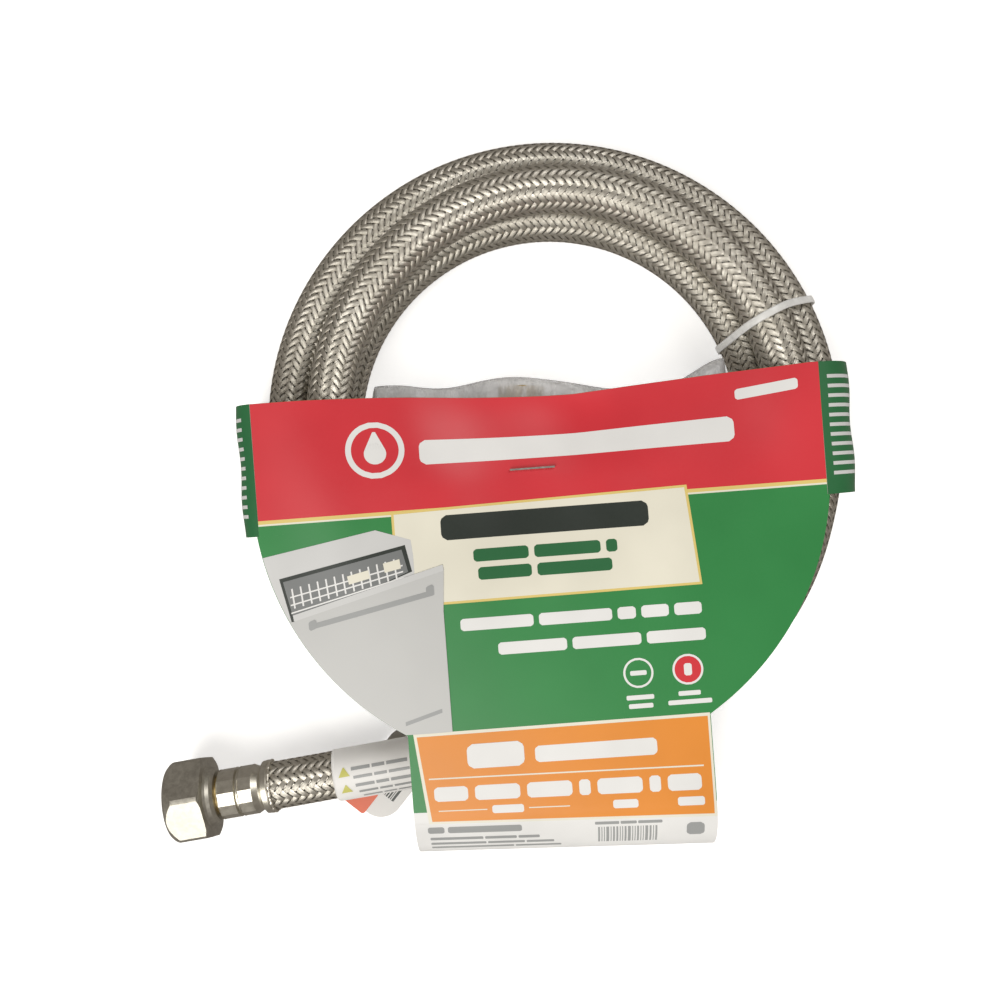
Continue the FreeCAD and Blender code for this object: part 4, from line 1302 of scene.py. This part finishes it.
        front = [self.lobe_patch(-83.2, -49.5, -34.0, 9),
                 self.quad([(-75.6, -49.1), (-33.1, -38.0), (-34.0, -49.6), (-75.4, -49.6)], 9, (10, 30))]
        self.printed("appliance_front", front, Finish.SILVER)
        lip = [self.quad([(-75.8, -47.7), (-33.3, -36.7), (-33.1, -38.4), (-75.6, -49.4)], 10, (5, 30))]
        self.printed("appliance_lip", lip, Finish.PALE_GREY)
        handle = [self.bar(-71.5, -36.2, -51.3, 1.5, 11, 7.0), self.bar(-71.6, -69.4, -51.0, 2.6, 12, 0.4),
                  self.bar(-38.4, -36.2, -43.7, 2.6, 12, 0.4)]
        self.printed("appliance_handle", handle, Finish.MID_GREY)
        lines = [self.quad([(-46.8, -79.6), (-36.4, -76.6), (-36.4, -77.7), (-46.8, -80.7)], 10, (3, 10))]
        self.printed("appliance_lines", lines, Finish.MID_GREY)

    def connector_panel(self) -> None:
        """Orange panel over the neck, and the white strip with its striped code under it."""
        border = [(-45.0, -83.2), (37.7, -83.2), (37.7, -110.6), (-42.4, -110.0)]
        self.printed("panel_border", [self.quad(border, 2, (26, 40))], Finish.CREAM)
        inner = [(-44.1, -84.1), (37.0, -84.1), (37.0, -109.8), (-41.5, -109.3)]
        self.printed("panel_orange", [self.quad(inner, 3, (26, 40))], Finish.ORANGE)
        strip = [self.quad([(-46.4, -110.0), (37.8, -110.0), (37.8, -131.0), (-46.4, -131.0)], 1, (24, 30))]
        self.printed("white_strip", strip, Finish.WHITE)
        bars = [self.bar(-30.5, -14.6, -90.6, 7.0, 4)] + self.words(-11.6, 22.4, -91.2, 4.6, (1,))
        bars += self.words(-40.4, 34.0, -101.2, 4.3, (3, 4, 4, 1, 4, 1, 3))
        bars += self.words(-24.6, -15.8, -106.2, 2.3, (1,)) + self.words(9.0, 16.0, -106.2, 2.3, (1,))
        bars += self.words(27.0, 34.5, -106.2, 2.3, (1,))
        for grid in bars:
            grid[..., 2] += 0.04
        self.printed("panel_bars", bars, Finish.WHITE)
        rules = [self.quad([(-41.6, -96.3), (34.9, -96.9), (34.9, -97.3), (-41.6, -96.7)], 4, (3, 40)),
                 self.quad([(-39.5, -106.0), (-26.0, -106.0), (-26.0, -106.3), (-39.5, -106.3)], 4, (3, 10)),
                 self.quad([(-14.4, -106.0), (-3.0, -106.0), (-3.0, -106.3), (-14.4, -106.3)], 4, (3, 10))]
        self.printed("panel_rules", rules, Finish.CREAM)
        small = self.words(-43.0, -16.8, -112.3, 2.2, (2, 9))
        small += self.words(-42.6, -12.0, -115.6, 1.1, (5, 3, 2))
        small += self.words(-42.6, -8.0, -117.9, 1.1, (6, 4, 3))
        small += self.words(-42.6, -6.0, -120.2, 1.1, (9, 5))
        small += self.words(3.6, 22.4, -111.6, 0.9, (3, 2, 3)) + [self.bar(29.2, 34.2, -114.6, 4.6, 2)]
        widths = (2, 1, 1, 3, 1, 2, 2, 1, 1, 2, 3, 1, 1, 2, 1, 1, 3, 2, 1, 2)
        at, unit, gap = 4.4, 0.26, 0.42
        for width in widths:
            right = at + width * unit
            small.append(self.quad([(at, -112.9), (right, -112.9), (right, -119.4), (at, -119.4)], 2, (8, 3)))
            at = right + gap
        self.printed("strip_words", small, Finish.MID_GREY)

    def build(self) -> None:
        """Make the sleeve and its printing."""
        bend_start = -self.fold_edge + self.bend
        bend_end = bend_start - math.pi * self.bend
        self.sheet("card_front_sheet", self.band_low, self.top_edge, (40, 120), Finish.GREEN,
                   ["card_front"])
        self.sheet("card_lobe_sheet", bend_start, self.band_low - 0.001, (90, 90), Finish.GREEN,
                   [])
        self.sheet("card_fold_sheet", bend_end, bend_start, (40, 40), Finish.WHITE,
                   ["card_fold"])
        length = self.back_top - bend_start
        self.sheet("card_back_sheet", bend_end - length, bend_end, (30, 40), Finish.DEEP_GREEN,
                   ["card_back"])
        self.flap("flap_left", -1, self.left_profile, "card_side_left")
        self.flap("flap_right", 1, self.right_profile, "card_side_right")
        self.artwork()
        dress_node("card_staple", Finish.STAPLE)
        log.info("card sleeve made")


# ---------------------------------------------------------------- bag, tie and labels


@dataclass
class LooseFittings:
    """The adapters and the elbow inside the bag."""

    adapters: tuple[str, ...] = ("adapter_small", "adapter_medium", "adapter_large")

    def build(self) -> None:
        """Give the pieces their finishes."""
        for node in self.adapters:
            dress_node(node, Finish.FITTING)
            dress_node(node + "_washer", Finish.WASHER)
        dress_node("elbow_fitting", Finish.FITTING)
        log.info("loose fittings dressed")


@dataclass
class FittingsBag:
    """A crumpled clear bag in the middle of the coil, with one corner pulled out under the tie."""

    reach: float = 53.0
    low_edge: float = -47.0
    high_edge: float = 12.2
    rest_height: float = 0.1
    fill: float = 23.0
    rim_height: float = 8.0
    film_thick: float = 0.12

    def surface(self, upper: bool) -> np.ndarray:
        """One side of the bag.

        Its outline is a circle cut off at the upper edge. Its height rises from the rim as one less the
        fourth powers of both shares, and creases are the sum of slanted folded sines.

        Args:
            upper: the upper side, or the lower one.

        Returns:
            Grid of layout points.
        """
        down, across = np.meshgrid(np.linspace(0, 1, 70), np.linspace(-1, 1, 90), indexing="ij")
        y = self.high_edge + (self.low_edge - self.high_edge) * down
        half = np.sqrt(self.reach**2 - y**2)
        x = across * half
        ear = smooth_step((x - 33) / 18) * smooth_step((y + 2) / 16)
        y = y + ear * 9 + 0.5 * np.sin(x * 0.24) * smooth_step((y - 4) / 8)
        y = y + 3.4 * np.exp(-(((x + 8) / 12) ** 2)) * smooth_step((y + 2) / 14)
        puff = (1 - across**4) * (1 - (2 * down - 1) ** 4)
        crease = np.abs(np.sin(x * 0.16 + y * 0.11)) + 0.6 * np.abs(np.sin(x * 0.09 - y * 0.23 + 1))
        crease = crease + 0.4 * np.abs(np.sin(x * 0.41 + y * 0.05 + 2))
        rim = self.rim_height + 6 * smooth_step((y + 6) / 18)
        if upper:
            sunk = 4.2 * smooth_step((y + 14) / 26)
            z = rim + (self.fill - sunk - rim) * puff**0.4 + (crease - 1.1) * 0.9 * (0.3 + puff)
        else:
            dome = np.clip(puff * 1.6, 0, 1) ** 0.45
            z = rim - 0.3 + (self.rest_height - rim) * dome + crease * 0.12 * puff
        return np.stack([x, y, np.maximum(z, 0.1)], axis=-1)

    def build(self) -> None:
        """Make the bag as two thin closed films that nearly meet at the rim."""
        upper, lower = self.surface(True), self.surface(False)
        points, faces, _ = shell(upper, self.film_thick)
        low_points, low_faces, _ = shell(lower, self.film_thick, len(points))
        bag = mesh_piece("bag_film", np.concatenate([points, low_points]), np.concatenate([faces, low_faces]),
                         [Finish.FILM])
        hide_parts("fittings_bag")
        log.info("bag made")


@dataclass
class CoilTie:
    """A flat tie pulled round all the turns."""

    angle: float = math.radians(26.0)
    width: float = 2.1
    thick: float = 0.5
    turns: tuple = ((81.0, 7.6), (64.2, 7.6), (69.4, 21.1))
    reach: float = 7.6

    def loop(self) -> np.ndarray:
        """The tight line round three circles, evenly spaced, as distance out and height."""
        angles = np.linspace(0, 2 * math.pi, 240, endpoint=False)
        out = np.stack([np.cos(angles), np.sin(angles)], axis=-1)
        centres = np.array(self.turns)
        best = np.argmax(out @ centres.T, axis=1)
        path = centres[best] + out * self.reach
        path = np.concatenate([path, path[:1]])
        run = np.concatenate([[0.0], np.cumsum(np.linalg.norm(np.diff(path, axis=0), axis=1))])
        even = np.linspace(0, run[-1], 160, endpoint=False)
        path = np.stack([np.interp(even, run, path[:, axis]) for axis in range(2)], axis=-1)
        path[:, 1] = np.maximum(path[:, 1], 0.35)
        return path

    def build(self) -> None:
        """Make the tie: the loop swept with a flat section."""
        path = self.loop()
        way = np.roll(path, -1, axis=0) - np.roll(path, 1, axis=0)
        way /= np.linalg.norm(way, axis=1, keepdims=True)
        normal = np.stack([way[:, 1], -way[:, 0]], axis=-1)
        corners = ((-0.5, -0.5), (-0.5, 0.35), (-0.3, 0.5), (0.3, 0.5), (0.5, 0.35), (0.5, -0.5))
        radial = np.array([math.cos(self.angle), math.sin(self.angle), 0.0])
        sideways = np.array([-math.sin(self.angle), math.cos(self.angle), 0.0])
        drift = 1.6 * np.sin(np.linspace(0, 2 * math.pi, len(path), endpoint=False))
        rings = []
        for across, rise in corners:
            place = path + normal * (rise * self.thick)
            place[:, 1] = np.maximum(place[:, 1], 0.1)
            rings.append(radial * place[:, :1] + sideways * (across * self.width + drift)[:, None]
                         + np.array([0, 0, 1.0]) * place[:, 1:])
        grid = np.stack(rings, axis=1)
        count = len(path)
        faces = grid_faces(count + 1, len(corners), closed=True) % (count * len(corners))
        piece = mesh_piece("tie_loop", grid, faces, [Finish.TIE])
        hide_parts("coil_tie")
        log.info("tie made")


@dataclass
class TailLabels:
    """The label folded over the inlet tail, with the tag and the small bright label beneath it."""

    start: tuple[float, float, float] = (-83.409, -106.184, 12.63)
    along: tuple[float, float, float] = (0.9853, 0.1702, -0.012)
    low: float = 20.8
    high: float = 45.0
    radius: float = 7.5
    thick: float = 0.18
    tag_turn: float = -38.0
    stripe_start: float = -5.6
    stripe_unit: float = 0.26
    stripe_gap: float = 0.3
    stripe_length: float = 7.5

    def wrap(self, far: np.ndarray, swing: np.ndarray, lift: float) -> np.ndarray:
        """Points of the folded label.

        From its far edge it follows a circle round the hose up to the side, then leaves it in a curve that
        flattens toward the floor; its lower near corner is rounded off.

        Args:
            far: distance along the hose from the fitting.
            swing: millimetres round the hose from its top, positive toward the near side.
            lift: how far outside the surface.

        Returns:
            Grid of layout points with one row for each distance round.
        """
        along = np.array(self.along)
        along /= np.linalg.norm(along)
        side = np.cross(along, (0.0, 0.0, 1.0))
        side /= np.linalg.norm(side)
        up = np.cross(side, along)
        far, swing = np.broadcast_arrays(far, swing)
        bend = 1.28
        angle = np.clip(swing / self.radius, -1.7, bend)
        extra = np.clip(swing - self.radius * bend, 0, None)
        curl = bend + np.clip(extra / 10.0, 0, 1) * 0.12
        out = (self.radius + lift) * np.sin(angle) + extra * np.cos(curl)
        rise = (self.radius + lift) * np.cos(angle) - extra * np.sin(curl) * 0.75
        base = np.array(self.start) + along * far[..., None]
        return base + side * out[..., None] + up * rise[..., None]

    def build(self) -> None:
        """Make the labels and what is printed on them."""
        swing = np.linspace(-11.5, 18.0, 40)[:, None]
        corner = np.sqrt(np.clip(1 - np.clip((swing - 11.0) / 7.2, 0, 1) ** 2, 0.0, 1))
        low = self.low + (1 - corner) * 6.5
        share = np.linspace(0, 1, 26)[None, :]
        far = low + share * (self.high - low)
        points, faces, _ = shell(self.wrap(far, swing, 0.1), self.thick)
        piece = mesh_piece("folded_label", points, faces, [Finish.LABEL])
        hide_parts("wrap_label")
        dress_node("barcode_tag", Finish.LABEL)
        dress_node("lot_label", Finish.ORANGE_LABEL)
        dark, yellow = [], []
        for row, (begin, thick) in enumerate(((5.6, 0.95), (6.0, 0.8), (6.2, 0.95), (6.8, 0.8), (7.6, 0.8))):
            middle = -2.6 + row * 2.45
            for first, last in ((0, 5.5), (6.1, 9.8), (10.4, 16.5)):
                columns = np.linspace(self.low + begin + first, self.low + begin + last, 12)[None, :]
                rows = (middle + np.linspace(-1, 1, 4) * thick / 2)[:, None]
                dark.append(self.wrap(columns, rows, 0.19))
        for middle in (-2.0, 3.0):
            rows = np.linspace(-1.3, 1.3, 8)[:, None]
            width = 0.15 + (rows + 1.3) / 2.6 * 1.5
            columns = self.low + 3.4 + width * np.linspace(-1, 1, 6)[None, :]
            yellow.append(self.wrap(columns, middle + rows, 0.19))
        card = Card()
        card.printed("label_words", dark, Finish.MID_GREY)
        card.printed("label_marks", yellow, Finish.YELLOW)
        low_corner, high_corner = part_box("barcode_tag")
        middle = (np.array(low_corner) + np.array(high_corner)) / 2 / MM - SHIFT
        turn = math.radians(self.tag_turn)
        stripes = []
        at = self.stripe_start
        for width in (3, 1, 2, 1, 1, 3, 2, 1, 4, 1, 2, 2, 1, 3):
            right = at + width * self.stripe_unit
            foot = -self.stripe_length
            cell = np.array([[(at, 0.0), (right, 0.0)], [(at, foot), (right, foot)]])
            x = middle[0] + cell[..., 0] * math.cos(turn) - cell[..., 1] * math.sin(turn)
            y = middle[1] + cell[..., 0] * math.sin(turn) + cell[..., 1] * math.cos(turn)
            stripes.append(np.stack([x, y, np.full(x.shape, high_corner[2] / MM + 0.05)], axis=-1))
            at = right + self.stripe_gap
        card.printed("tag_stripes", stripes, Finish.DARK_GREY)
        log.info("labels made")


def main() -> None:
    """Build the whole pack in order."""
    logging.basicConfig(level=logging.INFO, format="%(message)s")
    Studio().build()
    hose = Hose()
    hose.build()
    EndFitting("inlet", (-111.0, -110.95, 12.63), hose.inlet_along, 29.6, 9.45, 5.0, 1.814).build()
    outlet_mouth = np.array(hose.outlet_end) + np.array(hose.outlet_along) * 28.4
    backward = tuple(-value for value in hose.outlet_along)
    EndFitting("outlet", tuple(outlet_mouth), backward, 30.0, 6.57, 3.9, 1.058).build()
    LooseFittings().build()
    FittingsBag().build()
    CoilTie().build()
    TailLabels().build()
    Card().build()


if __name__ == "__main__":
    main()
